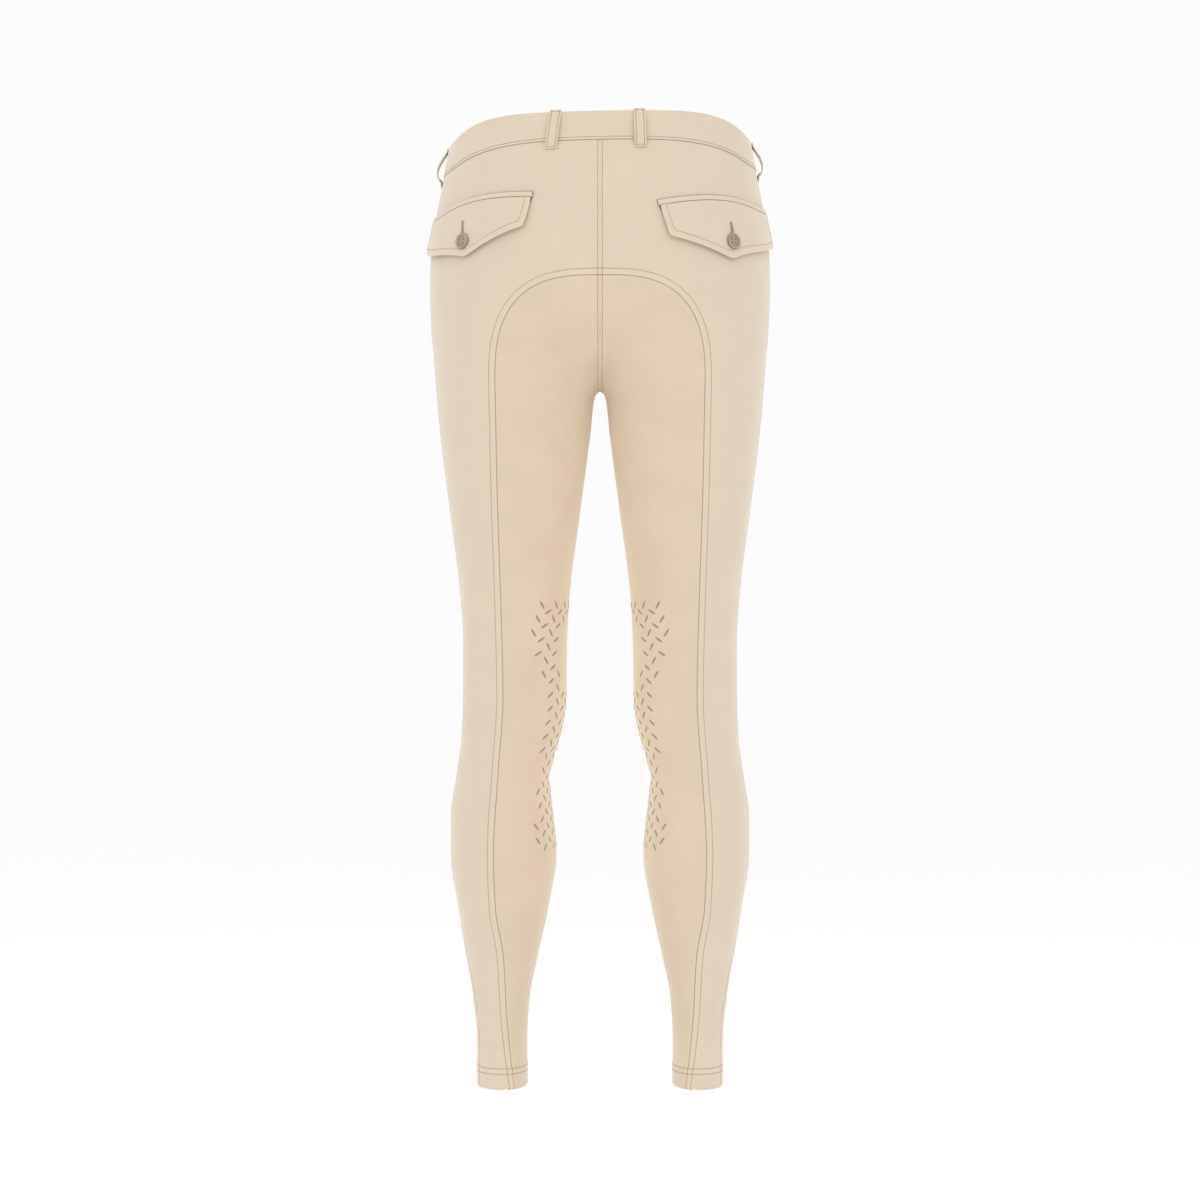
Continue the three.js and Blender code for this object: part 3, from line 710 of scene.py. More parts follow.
def cells(rows, columns):
    """Two triangles for each cell of a grid."""
    at = np.arange(rows * columns).reshape(rows, columns)
    a, b, c, d = at[1:, :-1], at[1:, 1:], at[:-1, 1:], at[:-1, :-1]
    pair = np.stack([np.stack([a, b, c], -1), np.stack([a, c, d], -1)])
    return pair.reshape(-1, 3)


def wall(points, normals, triangles, thickness):
    """A sheet as a closed wall: its outer face, an inner face below it, and a rim along every open edge."""
    count = len(points)
    edges = np.concatenate([triangles[:, [0, 1]], triangles[:, [1, 2]], triangles[:, [2, 0]]])
    there = edges[:, 0] * count + edges[:, 1]
    back_again = edges[:, 1] * count + edges[:, 0]
    a, b = edges[~np.isin(there, back_again)].T
    rim = np.concatenate([np.stack([b, a, a + count], -1), np.stack([b, a + count, b + count], -1)])
    inner = points - normals * np.reshape(thickness, (-1, 1))
    faces = np.concatenate([triangles, triangles[:, ::-1] + count, rim])
    return np.concatenate([points, inner]), faces.tolist()


def twill(name, colour, worn):
    """Matt stretch twill: fine ribs on the bias crossed by single yarns, a soft mottle, a painted highlight
    on the raised edge beside each seam and each row of stitches, and painted shade in the seam's line and
    in the row. seam and row are distances in millimetres, and the third field is 1 where the second colour
    is laid on in full as painted fill light."""
    finish = Finish(name)
    u = finish.node("ShaderNodeSeparateXYZ", None, {0: finish.node("ShaderNodeUVMap", {"uv_map": "cut"})})
    v = u.other(1)
    wave = 2 * np.pi / TWILL_PITCH
    rib = (u * (0.88 * wave) - v * (0.47 * wave)).sine()
    yarn = (u * (0.5 * wave) + v * (1.1 * wave)).sine()
    weave = rib * 0.34 + rib * yarn * 0.16 + 0.5
    here = finish.here()
    mottle = finish.noise(here, 26.0, 3.0)
    fuzz = finish.noise(here, 900.0, 2.0)
    seam = finish.field("seam")
    row = abs(finish.field("row"))
    painted_fill_light = finish.field("painted_fill_light")
    # Painted shade in the seam's line (in_seam) and the stitch row (pull); painted highlights beside them
    # (ridge, beside).
    in_seam = seam.bell(0, 0.45)
    ridge = seam.bell(1.3, 0.5)
    pull = row.bell(0, 0.7)
    beside = row.bell(1.4, 0.5)
    shade = 1 + (mottle - 0.5) * 0.07 + (fuzz - 0.5) * 0.05 + (weave - 0.5) * 0.05
    shade = shade + ridge * 0.05 + beside * 0.035 - pull * 0.07
    shade = shade * (1 - in_seam * 0.5)
    # The second colour comes in with the mottle, and in full as painted fill light inside the seat panels'
    # legs.
    lit = finish.scaled(finish.between(painted_fill_light + (mottle - 0.5) * 0.3, colour, worn), shade)
    height = weave * 0.10 + fuzz * 0.10 - pull * 0.25 - in_seam * 0.25 + 0.5
    roughness = 0.84 + (fuzz - 0.5) * 0.12
    sheen = {"Sheen Weight": 0.45, "Sheen Roughness": 0.45, "Specular IOR Level": 0.2}
    return finish.surface(lit, roughness, height, TWILL_DEPTH, **sheen)


cream_twill = twill("cream_twill", CREAM, PALE_CREAM)
seat_twill = twill("seat_twill", SEAT_CREAM, FILL_LIT_CREAM)


def stand_for(made, node):
    """Attaches a piece to the root body and hides the CAD part that it stands for."""
    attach(made, "root")
    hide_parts(node)


def finish_cloth(made, node):
    """Gives every sheet its place on the root body, and hides the CAD part that it stands for."""
    stand_for(made, node)


def panel(kind, word, strips, columns, material):
    """A panel of one half, on strips between two seams each. The strips' cells are merged where they meet,
    moved out by the relief and made into a wall, which is doubled at the hem."""
    side = SIDES[word]
    parts = [rows_between(first, second, columns, side, anchor) for first, second, anchor in strips]
    triangles = []
    start = 0
    for part in parts:
        triangles.append(cells(*part["z"].shape) + start)
        start += part["z"].size
    z, turn, across = (
        np.concatenate([part[key].ravel() for part in parts]) for key in ("z", "turn", "across")
    )
    rounded = np.round(skin(z, turn, side), 3)
    _, keep, same = np.unique(rounded, axis=0, return_index=True, return_inverse=True)
    z, turn, across = z[keep], turn[keep], across[keep]
    corner = same.ravel()[np.concatenate(triangles)]
    a, b, c = corner.T
    corner = corner[(a != b) & (b != c) & (a != c)]
    points = skin(z, turn, side)
    normals = outward(z, turn, side)
    gaps = {seam: gap_to(points, SEAMS[side][seam]) for seam in FOLDS[kind]}
    rows = [gaps[seam] - at for seam, (_, at) in FOLDS[kind].items() if at]
    rows.append(np.abs(gaps["hem"] - (sum(HEM_ROWS) / 2 - HEM_Z)) - (HEM_ROWS[0] - HEM_ROWS[1]) / 2)
    row = np.abs(rows).min(0) * np.prod(np.sign(rows), axis=0)  # changes sign only on a row
    seam = np.min([gaps[key] + CENTRE_SOFT * ("centre" in key) for key in gaps if key != "hem"], axis=0)
    out = points + normals * relief(points, z, turn, side, kind)[:, None]
    thickness = np.where(gaps["hem"] < HEM_DEPTH, 2 * CLOTH, CLOTH)
    shell, faces = wall(out, normals, corner, thickness)
    cut = np.stack([across, z], axis=-1) * 0.001
    fields = {"seam": np.tile(seam, 2), "row": np.tile(row, 2)}
    # Painted fill light: the seat panels' inner legs get the paler second colour, where the legs shade each
    # other.
    if kind == "seat":
        painted_fill_light = np.exp(-(((turn - 180) / FILL_LIGHT_SPAN) ** 2)) * ease(z, *FILL_LIGHT_LEVELS)
        fields["painted_fill_light"] = np.tile(painted_fill_light, 2)
    made = put_mesh(f"{kind}_{word}_cloth", shell, faces, material, np.tile(cut, (2, 1)), fields)
    edge = out[corner]
    sides = np.cross(edge[:, 1] - edge[:, 0], edge[:, 2] - edge[:, 0])
    finish_cloth(made, f"{kind}_{word}")


FRONT_COLUMNS = 50
front_strips = [(chain(centre_front, front_arch), side_hip, -1), (front_leg, side_leg, -1)]
for word in SIDES:
    panel("front", word, front_strips, FRONT_COLUMNS, cream_twill)

# Back panels: the same twill, from the side seam to the centre back and the arched edge of the seat. Their
# side and seat edges lie over the neighbouring pieces.
BACK_COLUMNS = 46
back_strips = [(side_hip, chain(centre_back, back_arch), 0), (side_leg, back_leg, 0)]
for word in SIDES:
    panel("back", word, back_strips, BACK_COLUMNS, cream_twill)

# Seat panels: a denser twill, a shade deeper, that starts in an arch at the centre back, runs under the
# crotch and down the whole inside of the leg, and ends at the front in a smaller arch.
SEAT_COLUMNS = 34
full_rise, full_arch, full_leg = ((z, turn + 360) for z, turn in (front_rise, front_arch, front_leg))
seat_strips = [
    (back_arch, back_rise, -1),
    (full_rise, full_arch, 0),
    (back_leg, inner_leg, -1),
    (inner_leg, full_leg, 0),
]
for word in SIDES:
    panel("seat", word, seat_strips, SEAT_COLUMNS, seat_twill)

# Waistband: a double strip of the same twill with a stiffener in it, folded at its top edge. It is sewn over
# the panels' upper edges with one row of stitches. In front its left end laps over the right one.
BAND_PROUD = 0.6  # how far its outer face stands above the panels'
BAND_THICK = 2.2
BAND_LOW = WAIST_SEAM_Z - 0.1
BAND_ROW = 2.7
BAND_LAP = 34  # how far the lap reaches past the centre front
BAND_ALONG = 30  # points along each face of its outline
LAY_GAP = 0.7  # between two pieces that lie on each other
LAP_FACE = BAND_PROUD + BAND_THICK + LAY_GAP
LAP_RISE = 0.25  # share of the left front along which the band rises to the lap


def strip_outline(width, thick, along, bend=5):
    """The closed outline of a folded strip: two flat faces joined by half circles. Its points are given as
    (across, out), with out 0 on the outer face."""
    r = thick / 2
    flat = np.linspace(r - width / 2, width / 2 - r, along)
    angle = np.radians(np.linspace(90, -90, bend + 2)[1:-1])
    edge = width / 2 - r + r * np.cos(angle)
    drop = r * np.sin(angle) - r
    across = np.concatenate([flat, edge, flat[::-1], -edge[::-1]])
    out = np.concatenate([np.zeros(along), drop, np.full(along, -thick), drop[::-1]])
    return across, out


def tube_faces(stations, ring):
    """Faces of a closed outline carried along a path, with both ends capped."""
    at = np.arange(stations * ring).reshape(stations, ring)
    after = np.roll(at, -1, axis=1)
    quads = np.stack([at[:-1], at[1:], after[1:], after[:-1]], -1).reshape(-1, 4)
    return [*quads.tolist(), at[0, ::-1].tolist(), at[-1].tolist()]


def strip_mesh(name, grid, along, down, seam, row):
    """A folded strip carried along a path, from its grid of points. along and down are their places on the
    flat cloth, and seam and row the distances of each point of the outline."""
    cut = np.stack(np.broadcast_arrays(along, down), -1).reshape(-1, 2) * 0.001
    fields = {"seam": np.tile(seam, len(grid)), "row": np.tile(row, len(grid))}
    return put_mesh(name, grid.reshape(-1, 3), tube_faces(*grid.shape[:2]), cream_twill, cut, fields)


def centre_front_turn(z):
    """The turn of the centre front."""
    return turn_at(z, 0, -1)


def centre_back_turn(z):
    """The turn of the centre back."""
    return turn_at(z, 0, 1)


def lap_end_turn(z):
    """The turn at which the lap ends, on the right half."""
    return centre_front_turn(z) + np.degrees(BAND_LAP / -front_depth(z))


BAND_SECTORS = (
    # side, start, end and number of columns
    (-1, centre_front_turn, side_turn, 90),
    (-1, side_turn, centre_back_turn, 90),
    (1, centre_back_turn, side_turn, 90),
    (1, side_turn, centre_front_turn, 90),
    (-1, centre_front_turn, lap_end_turn, 18),
)


def band_face(z, out):
    """The waistband at given levels and heights above the panels: sectors of each half, one after the other,
    from the right front round to the lap, which rides out over the layer below it."""
    parts = []
    for number, (side, start, end, columns) in enumerate(BAND_SECTORS):
        share = np.linspace(0, 1, columns + 1)[1 if number else 0 :, None]
        ride = {3: ease(share, 1 - LAP_RISE, 1), 4: 1.0}.get(number, 0.0) * (LAP_FACE - BAND_PROUD)
        turn = blend(start(z), end(z), share)
        level = np.broadcast_to(z, turn.shape)
        parts.append(skin(level, turn, side) + outward(level, turn, side) * (out + ride)[..., None])
    return np.concatenate(parts)


across, out = strip_outline(-BAND_LOW, BAND_THICK, BAND_ALONG)
level = BAND_LOW / 2 + across
above = level - BAND_LOW
face = ease(out, -BAND_THICK, -BAND_THICK / 2)
form = out + BAND_PROUD - face * 0.25 * np.exp(-(((above - BAND_ROW) / 0.8) ** 2))
grid = band_face(level, form)
run = distances(grid[:, BAND_ALONG // 2])
waistband = strip_mesh("waistband_cloth", grid, run[:, None], level, above, above - BAND_ROW)
finish_cloth(waistband, "waistband")

# Belt loops: narrow folded strips with a row of stitches along both edges. Their ends are turned under and
# tacked down above and below the waistband, and those at the sides stand well off it.
LOOP_WIDTH = 11.5
LOOP_THICK = 1.5
LOOP_SEWN = 0.1  # share of its length that is sewn down at each end
LOOP_BIAS = 1.4  # the larger, the lower its farthest point lies
LOOP_FULL = 0.75  # the smaller, the fuller its bow
LOOP_ABOVE = 1.5  # its ends' distance above the waistband's top and below its seam
LOOP_BELOW = 8
LOOP_ROW = 2.0
LOOP_ALONG = 22
LOOPS = {
    # side, turns of the head and the foot, and how far it stands out
    "loop_back_left": (1, 68.7, 66.9, 4.6),
    "loop_back_right": (-1, 70.9, 70.7, 4.6),
    "loop_side_left": (1, 1, 1, 9),
    "loop_side_right": (-1, 1, 1, 9),
    "loop_front_left": (1, -62, -62, 4.6),
    "loop_front_right": (-1, -62, -62, 4.6),
}


def loop_face(side, head, foot, stand, t, q, out):
    """A belt loop's points and normals: t runs from head to foot and q across it in millimetres. Between its
    sewn ends it bows out as a power of the sine of t."""
    free = np.clip((t - LOOP_SEWN) / (1 - 2 * LOOP_SEWN), 0, 1)
    bow = np.maximum(np.sin(np.pi * free**LOOP_BIAS), 0) ** LOOP_FULL
    rest = BAND_PROUD + 0.3 + LOOP_THICK
    z = blend(LOOP_ABOVE, WAIST_SEAM_Z - LOOP_BELOW, t)
    turn = blend(head, foot, t)
    middle = skin(z, turn, side)
    wide = turn + np.degrees(q / np.hypot(middle[..., 0], middle[..., 1]))
    level = np.broadcast_to(z, wide.shape)
    normal = outward(level, wide, side)
    return skin(level, wide, side) + normal * (rest + (stand - rest) * bow + out)[..., None], normal


stations = np.concatenate([[0, 0.008], np.linspace(0.02, 0.98, 56), [0.992, 1]])[:, None]
blunt = 1 - 0.45 * (1 - ease(np.minimum(stations, 1 - stations), 0, 0.022))
q, out = strip_outline(LOOP_WIDTH, LOOP_THICK, LOOP_ALONG)
from_edge = LOOP_WIDTH / 2 - np.abs(q)
groove = 0.16 * np.exp(-(((from_edge - LOOP_ROW) / 0.6) ** 2)) * ease(out, -LOOP_THICK, 0)
section = -LOOP_THICK / 2 + (out + LOOP_THICK / 2 - groove) * blunt
for name, (side, head, foot, stand) in LOOPS.items():
    grid, _ = loop_face(side, head, foot, stand, stations, q + 0 * stations, section)
    length = distances(grid[:, LOOP_ALONG // 2])[-1]
    loop = strip_mesh(f"{name}_cloth", grid, q, -stations * length, from_edge + 0.6, from_edge - LOOP_ROW)
    finish_cloth(loop, name)

# Back pockets: each mouth is bound by a narrow welt, a folded strip sewn along its upper edge.
POCKETS = {
    # side, turns of the inner and outer end, and their levels
    "left": (1, 59.5, 8, -78, -74.5),
    "right": (-1, 64, 8, -88, -71),
}
POCKET_CROWN = 1.8  # how far the mouth is arched
WELT_HEIGHT = 4.9
WELT_THICK = 1.8
NO_ROW = 9.0  # stands for a row of stitches too far off to show


def pocket_face(pocket, share, drop, lean, out):
    """A point over a pocket: share from its inner to its outer end and drop below its upper edge, which is
    arched as a sine."""
    side, inner_turn, outer_turn, inner_z, outer_z = pocket
    turn = blend(inner_turn, outer_turn, share) + lean * (1 - share)
    z = blend(inner_z, outer_z, share) + POCKET_CROWN * np.sin(np.pi * share) - drop
    return skin(z, turn, side) + outward(z, turn, side) * np.asarray(out)[..., None]


def pocket_width(pocket):
    """How far it is from one end of a pocket's mouth to the other, over the cloth."""
    mouth = pocket_face(pocket, np.linspace(0, 1, 60), 0.0, 0, 0.0)
    return distances(mouth)[-1]


across, out = strip_outline(WELT_HEIGHT, WELT_THICK, 9)
drop = WELT_HEIGHT / 2 - across
stations = np.linspace(-0.01, 1.01, 110)[:, None]
for word, pocket in POCKETS.items():
    form = LAY_GAP + WELT_THICK + out + 0 * stations
    grid = pocket_face(pocket, stations + 0 * drop, drop + 0 * stations, 0, form)
    seam = np.minimum(drop, WELT_HEIGHT - drop) + 0.45
    along = stations * pocket_width(pocket)
    welt = strip_mesh(f"pocket_welt_{word}_cloth", grid, along, -drop, seam, np.full_like(drop, NO_ROW))
    stand_for(welt, f"pocket_welt_{word}")

# Pocket flaps: two layers of twill, turned and topstitched along three edges, sewn in under the welt. The
# lower edge comes to a point near the inner end, and it stands a little off the panel.
FLAP_INNER = 33.5  # its depth at the inner end, at the point and at the outer end
FLAP_POINT = 57.5
FLAP_OUTER = 40
FLAP_POINT_AT = 0.38  # the point's place, as a share of the width from the inner end
FLAP_HOLLOW = {1: 1.42, -1: 1.2}  # how much the lower inner edge of each half's flap is hollowed
FLAP_THICK = 2
FLAP_STAND = 2.2  # how far its lower edge stands off
FLAP_LIFT = 1.6  # and how much farther at the inner end
FLAP_LEAN = 1  # degrees of turn by which its inner end slants
FLAP_CORNER = 1.6
FLAP_BLUNT = 0.026  # share of the width over which its point is rounded
FLAP_ROW = 6.0
FLAP_TOP = WELT_HEIGHT + 0.3


def flap_depth(share, side):
    """The flap's depth below the pocket's upper edge: from each end to the point as a power of the way, which
    follows a hyperbola at the blunt point. At both corners it is shorter by a fading exponential."""
    inside = share < FLAP_POINT_AT
    reach = np.where(inside, FLAP_POINT_AT, 1 - FLAP_POINT_AT)
    off = np.hypot(share - FLAP_POINT_AT, FLAP_BLUNT) - FLAP_BLUNT
    way = 1 - off / (np.hypot(reach, FLAP_BLUNT) - FLAP_BLUNT)
    end = np.where(inside, FLAP_INNER, FLAP_OUTER)
    power = np.where(inside, FLAP_HOLLOW[side], 1.15)
    corners = np.exp(-share / 0.012) + np.exp(-(1 - share) / 0.012)
    return end + (FLAP_POINT - end) * np.maximum(way, 0) ** power - FLAP_CORNER * corners


def flap_face(pocket, share, drop, out=0.0):
    """A point of the flap's outer face, drop below the pocket's upper edge."""
    down = (drop - FLAP_TOP) / (flap_depth(share, pocket[0]) - FLAP_TOP)
    stand = FLAP_STAND + FLAP_LIFT * (1 - share) ** 3
    form = LAY_GAP + FLAP_THICK + stand * np.maximum(down, 0) ** 1.5
    return pocket_face(pocket, share, drop, FLAP_LEAN * down, form + out)


def surface_normals(grid, side):
    """Unit normals of a grid of points from its two central differences, turned away from the half."""
    across = np.gradient(grid, axis=1)
    down = np.gradient(grid, axis=0)
    normal = unit(np.cross(across, down) * side)
    facing = (normal * normals_over(grid, side)).sum(-1)
    return normal * np.sign(facing.mean())


def close_at_ends(start, end, count):
    """Values from start to end, closer together at both ends, as half a cosine wave."""
    return blend(start, end, 0.5 - 0.5 * np.cos(np.linspace(0, np.pi, count)))


shares = np.concatenate([close_at_ends(0, FLAP_POINT_AT, 46)[:-1], close_at_ends(FLAP_POINT_AT, 1, 66)])
down = np.sin(np.linspace(0, np.pi / 2, 46))[:, None]
for word, pocket in POCKETS.items():
    side = pocket[0]
    drop = FLAP_TOP + down * (flap_depth(shares, side) - FLAP_TOP)
    grid = flap_face(pocket, shares + 0 * down, drop)
    edge = np.concatenate([grid[:, 0], grid[-1, 1:], grid[-2::-1, -1]])
    gap = gap_to(grid.reshape(-1, 3), edge)
    normals = surface_normals(grid, side).reshape(-1, 3)
    points = grid.reshape(-1, 3) + normals * over_seam(gap, FLAP_ROW)[:, None]
    thickness = FLAP_THICK - 0.9 * np.exp(-((gap / 0.9) ** 2))
    shell, faces = wall(points, normals, cells(*drop.shape), thickness)
    width = pocket_width(pocket)
    cut = np.stack(np.broadcast_arrays(shares * width, -drop), -1).reshape(-1, 2) * 0.001
    fields = {"seam": np.tile(gap + 0.5, 2), "row": np.tile(gap - FLAP_ROW, 2)}
    flap = put_mesh(f"pocket_flap_{word}_cloth", shell, faces, cream_twill, np.tile(cut, (2, 1)), fields)
    depth = flap_depth(np.linspace(0, 1, 400), side).mean() - FLAP_TOP
    stand_for(flap, f"pocket_flap_{word}")
    area = width * depth * 1e-6

# Buttons: dished discs of horn-like casein with a raised rim and four holes, one on each flap and one on the
# waistband's lap, sewn on with two pairs of strands.
BUTTON_RADIUS = 8.2
BUTTON_THICK = 2.4
HOLE_RADIUS = 0.9
HOLE_SPACING = 1.9
BUTTON_AT = 0.44  # its place as a share of the flap's width
BUTTON_ABOVE_POINT = 14
RIM_FOOT = 3.0  # from the button's edge to the foot of its rim
RIM_HIGH = 0.7
FOOT_SHADE = 0.45  # how much painted shade darkens the foot of the rim, and the button's side
SIDE_SHADE = 0.65
FACE_SHARE = 0.42  # share of the button's section that lies on its face
PIT_DEEP = 1.4
BUTTON_OFF = 0.3  # from the cloth to its back
THREAD_APART = 0.26  # from the middle of a hole to each of its two strands
HORN = (170, 154, 128)
THREAD = (178, 150, 110)


def horn(name):
    """Polished horn: cloudy brown streaks under a thin gloss. The pit field darkens the holes, the dished
    ring and the button's side with painted shade.
    """
    finish = Finish(name)
    here = finish.here()
    stretched = finish.node("ShaderNodeMapping", None, {"Vector": here, "Scale": (240, 240, 90)})
    shade = (0.5 + finish.noise(stretched, 1.6, 5.0)) * (1 - finish.field("pit") * 0.85)
    scratch = finish.noise(here, 1500.0, 2.0)
    return finish.surface(finish.scaled(linear(*HORN), shade), 0.34 + scratch * 0.16, scratch, 0.00005)


def disc_profile():
    """The button's section from the middle of its face over the rim to the middle of its back, smoothed."""
    radius, thick = BUTTON_RADIUS, BUTTON_THICK
    corners = np.array(
        [
            (0.05, thick - RIM_HIGH),
            (radius - RIM_FOOT, thick - RIM_HIGH),
            (radius - 1.9, thick),
            (radius - 0.7, thick),
            (radius, thick - 0.7),
            (radius, 0.9),
            (radius - 1.2, 0),
            (0.05, 0),
        ]
    )
    run = distances(corners)
    line = points_at(corners, run, np.linspace(0, run[-1], 100))
    line[2:-2] = (line[:-4] + line[1:-3] + line[2:-2] + line[3:-1] + line[4:]) / 5
    return line


def standing(facing):
    """Axes of a button: across, up and out."""
    across = unit(np.cross((0, 0, 1), facing))
    return np.stack([across, np.cross(facing, across), facing])


def many_tubes(count, stations, ring):
    """Faces of a number of equal closed tubes, one after the other: first their sides and then their caps."""
    *sides, first_cap, last_cap = tube_faces(stations, ring)
    start = stations * ring * np.arange(count)[:, None]
    quads = (np.array(sides) + start[..., None]).reshape(-1, 4)
    return [*quads.tolist(), *(start + first_cap).tolist(), *(start + last_cap).tolist()]


def put_stitches(name, material, centres, headings, ups, length, wide=0.30, high=0.26):
    """Stitches: short thread spindles with three hexagonal sections, which are narrower at both ends."""
    ahead = unit(headings)
    up = unit(ups - (ups * ahead).sum(1, keepdims=True) * ahead)
    beside = np.cross(ahead, up)
    angle = np.radians(np.arange(0, 360, 60))
    station, turn = np.meshgrid([-1, 0, 1], angle, indexing="ij")
    full = np.where(station == 0, 1.0, 0.62)
    length = np.broadcast_to(length, len(centres)) / 2
    offset = (
        (station.ravel() * length[:, None])[..., None] * ahead[:, None]
        + (np.cos(turn) * full).ravel()[None, :, None] * wide * beside[:, None]
        + (np.sin(turn) * full).ravel()[None, :, None] * high * up[:, None]
    )
    points = (centres[:, None] + offset).reshape(-1, 3)
    made = put_mesh(name, points, many_tubes(len(centres), 3, 6), material)
    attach(made, "root")


def thread_finish(name, colour):
    """Spun sewing thread: twisted plies give it a fine slanting stripe and a soft sheen."""
    finish = Finish(name)
    twist = {"Vector": finish.here(), "Scale": 900.0, "Distortion": 2.0}
    plies = finish.node("ShaderNodeTexWave", {"bands_direction": "DIAGONAL"}, twist, output=1)
    base = finish.scaled(linear(*colour), 0.86 + plies * 0.28)
    return finish.surface(base, 0.62 + plies * 0.1, plies, 0.0001, **{"Sheen Weight": 0.3})


button_horn = horn("button_horn")
seam_thread = thread_finish("seam_thread", THREAD)
profile = disc_profile()
spin = np.radians(np.arange(0, 360, 5))


def sew_button(name, seat, facing):
    """A button standing on a point of the cloth, with its thread."""
    axes = standing(facing)
    radius, height = profile[:, :1], profile[:, 1:]
    x, y = radius * np.cos(spin), radius * np.sin(spin)
    to_hole = np.hypot(np.abs(x) - HOLE_SPACING, np.abs(y) - HOLE_SPACING)
    top = np.arange(len(profile))[:, None] < len(profile) * FACE_SHARE
    # Painted shade: the holes, the foot of the rim and the button's side are darkened.
    pit = (1 - ease(to_hole, HOLE_RADIUS - 0.3, HOLE_RADIUS + 0.05)) * top
    ring = FOOT_SHADE * np.exp(-(((radius - BUTTON_RADIUS + RIM_FOOT) / 0.7) ** 2)) * top
    painted_side_shade = SIDE_SHADE * ease(radius, BUTTON_RADIUS - 0.6, BUTTON_RADIUS)
    local = np.stack([x, y, height - PIT_DEEP * pit], -1)
    base = seat + facing * BUTTON_OFF
    button = put_mesh(
        f"{name}_horn",
        (base + local @ axes).reshape(-1, 3),
        tube_faces(len(profile), len(spin)),
        button_horn,
        None,
        {"pit": np.maximum(pit, ring + painted_side_shade).ravel()},
    )
    stand_for(button, name)
    x = np.array([-1, -1, 1, 1]) * HOLE_SPACING + np.array([-1, 1, -1, 1]) * THREAD_APART
    strands = np.stack([x, 0 * x, np.full(4, BUTTON_THICK - 0.58)], -1)
    up = np.broadcast_to(axes[1], (4, 3))
    out = np.broadcast_to(axes[2], (4, 3))
    length = 2 * HOLE_SPACING + 0.5
    put_stitches(f"{name}_thread", seam_thread, base + strands @ axes, up, out, length, 0.2, 0.2)


button_drop = FLAP_TOP + (1 - BUTTON_ABOVE_POINT / (FLAP_POINT - WELT_HEIGHT)) * (
    flap_depth(np.array(BUTTON_AT), -1) - FLAP_TOP
)
for word, pocket in POCKETS.items():
    near = flap_face(pocket, BUTTON_AT + np.array([[-0.02, 0.02]]), button_drop + np.array([[-1.5], [1.5]]))
    facing = unit(surface_normals(near, pocket[0]).mean((0, 1)))
    sew_button(f"pocket_button_{word}", near.mean((0, 1)), facing)
lap_z = np.array([WAIST_SEAM_Z / 2])
lap_turn = np.array([-90 + np.degrees(BAND_LAP / 2 / -front_depth(0))])
lap_out = outward(lap_z, lap_turn, -1)[0]
sew_button("waist_button", skin(lap_z, lap_turn, -1)[0] + lap_out * LAP_FACE, lap_out)

# Buttonholes: a slit with close stitches over both its edges and round the eyelet at its end. The flaps' run
# up from their buttons, and the lap's lies level.
FLAP_HOLES = {
    # length, and how far its upper end lies nearer the flap's outer end, as a share of the flap's width
    "left": (19, 0.051),
    "right": (16, 0.024),
}
WAIST_HOLE = 20.5
HOLE_STITCH = 1.25
HOLE_PITCH = 0.52
HOLE_HALF = 0.78  # from the slit's middle to that of its stitches
EYELET_RING = 1.35


def slit(name, centre, out, half, high, material):
    """A narrow lens laid along a line, an ellipse of a given half width and height that closes at both ends.
    Gives back the directions across the line."""
    beside = unit(np.cross(out, np.gradient(centre, axis=0)))
    t = np.linspace(0, 1, len(centre))[:, None]
    wide = half * np.sqrt(np.maximum(1 - (2 * t - 1) ** 8, 0.02))
    angle = np.radians(np.arange(0, 360, 45))
    ring = (
        centre[:, None]
        + beside[:, None] * (wide * np.cos(angle))[..., None]
        + out[:, None] * (high * np.sin(angle))[None, :, None]
    )
    made = put_mesh(name, ring.reshape(-1, 3), tube_faces(len(centre), len(angle)), material)
    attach(made, "root")
    return beside


def shadow_finish(name, first, second):
    """Painted shade standing for the unlit inside of an opening: a dark brown in two near tones."""
    finish = Finish(name)
    shade_mottle = finish.noise(finish.here(), 700.0, 2.0)
    return finish.surface(finish.between(shade_mottle, first, second), 0.9 + shade_mottle * 0.08)


slit_shade = shadow_finish("slit_shade", (70, 57, 42), (98, 82, 62))
ditch_shade = shadow_finish("ditch_shade", (118, 101, 79), (140, 121, 95))
hole_thread = thread_finish("buttonhole_thread", (196, 172, 136))


def buttonhole(name, centre, out):
    """Close stitches across both edges of a slit, with an eyelet of stitches and a round hole at its end."""
    # The slit is a dark lens of painted shade.
    beside = slit(f"{name}_slit", centre, out, 0.2, 0.14, slit_shade)
    both = np.concatenate([centre + beside * HOLE_HALF, centre - beside * HOLE_HALF])
    across = np.tile(beside, (2, 1))
    angle = np.radians(np.arange(0, 360, 24))
    spoke = beside[-1] * np.cos(angle)[:, None] + np.cross(out[-1], beside[-1]) * np.sin(angle)[:, None]
    centres = np.concatenate([both, centre[-1] + spoke * EYELET_RING])
    headings = np.concatenate([across, spoke])
    ups = np.concatenate([out, out, np.broadcast_to(out[-1], spoke.shape)])
    seats = centres + ups * 0.06
    put_stitches(f"{name}_stitches", hole_thread, seats, headings, ups, HOLE_STITCH, 0.24, 0.26)
    # The eyelet's round hole is a dark disc of painted shade.
    dot = np.linspace(-0.7, 0.7, 9)[:, None] * np.cross(out[-1], beside[-1]) + centre[-1]
    slit(f"{name}_eyelet", dot, np.broadcast_to(out[-1], dot.shape), 0.75, 0.2, slit_shade)


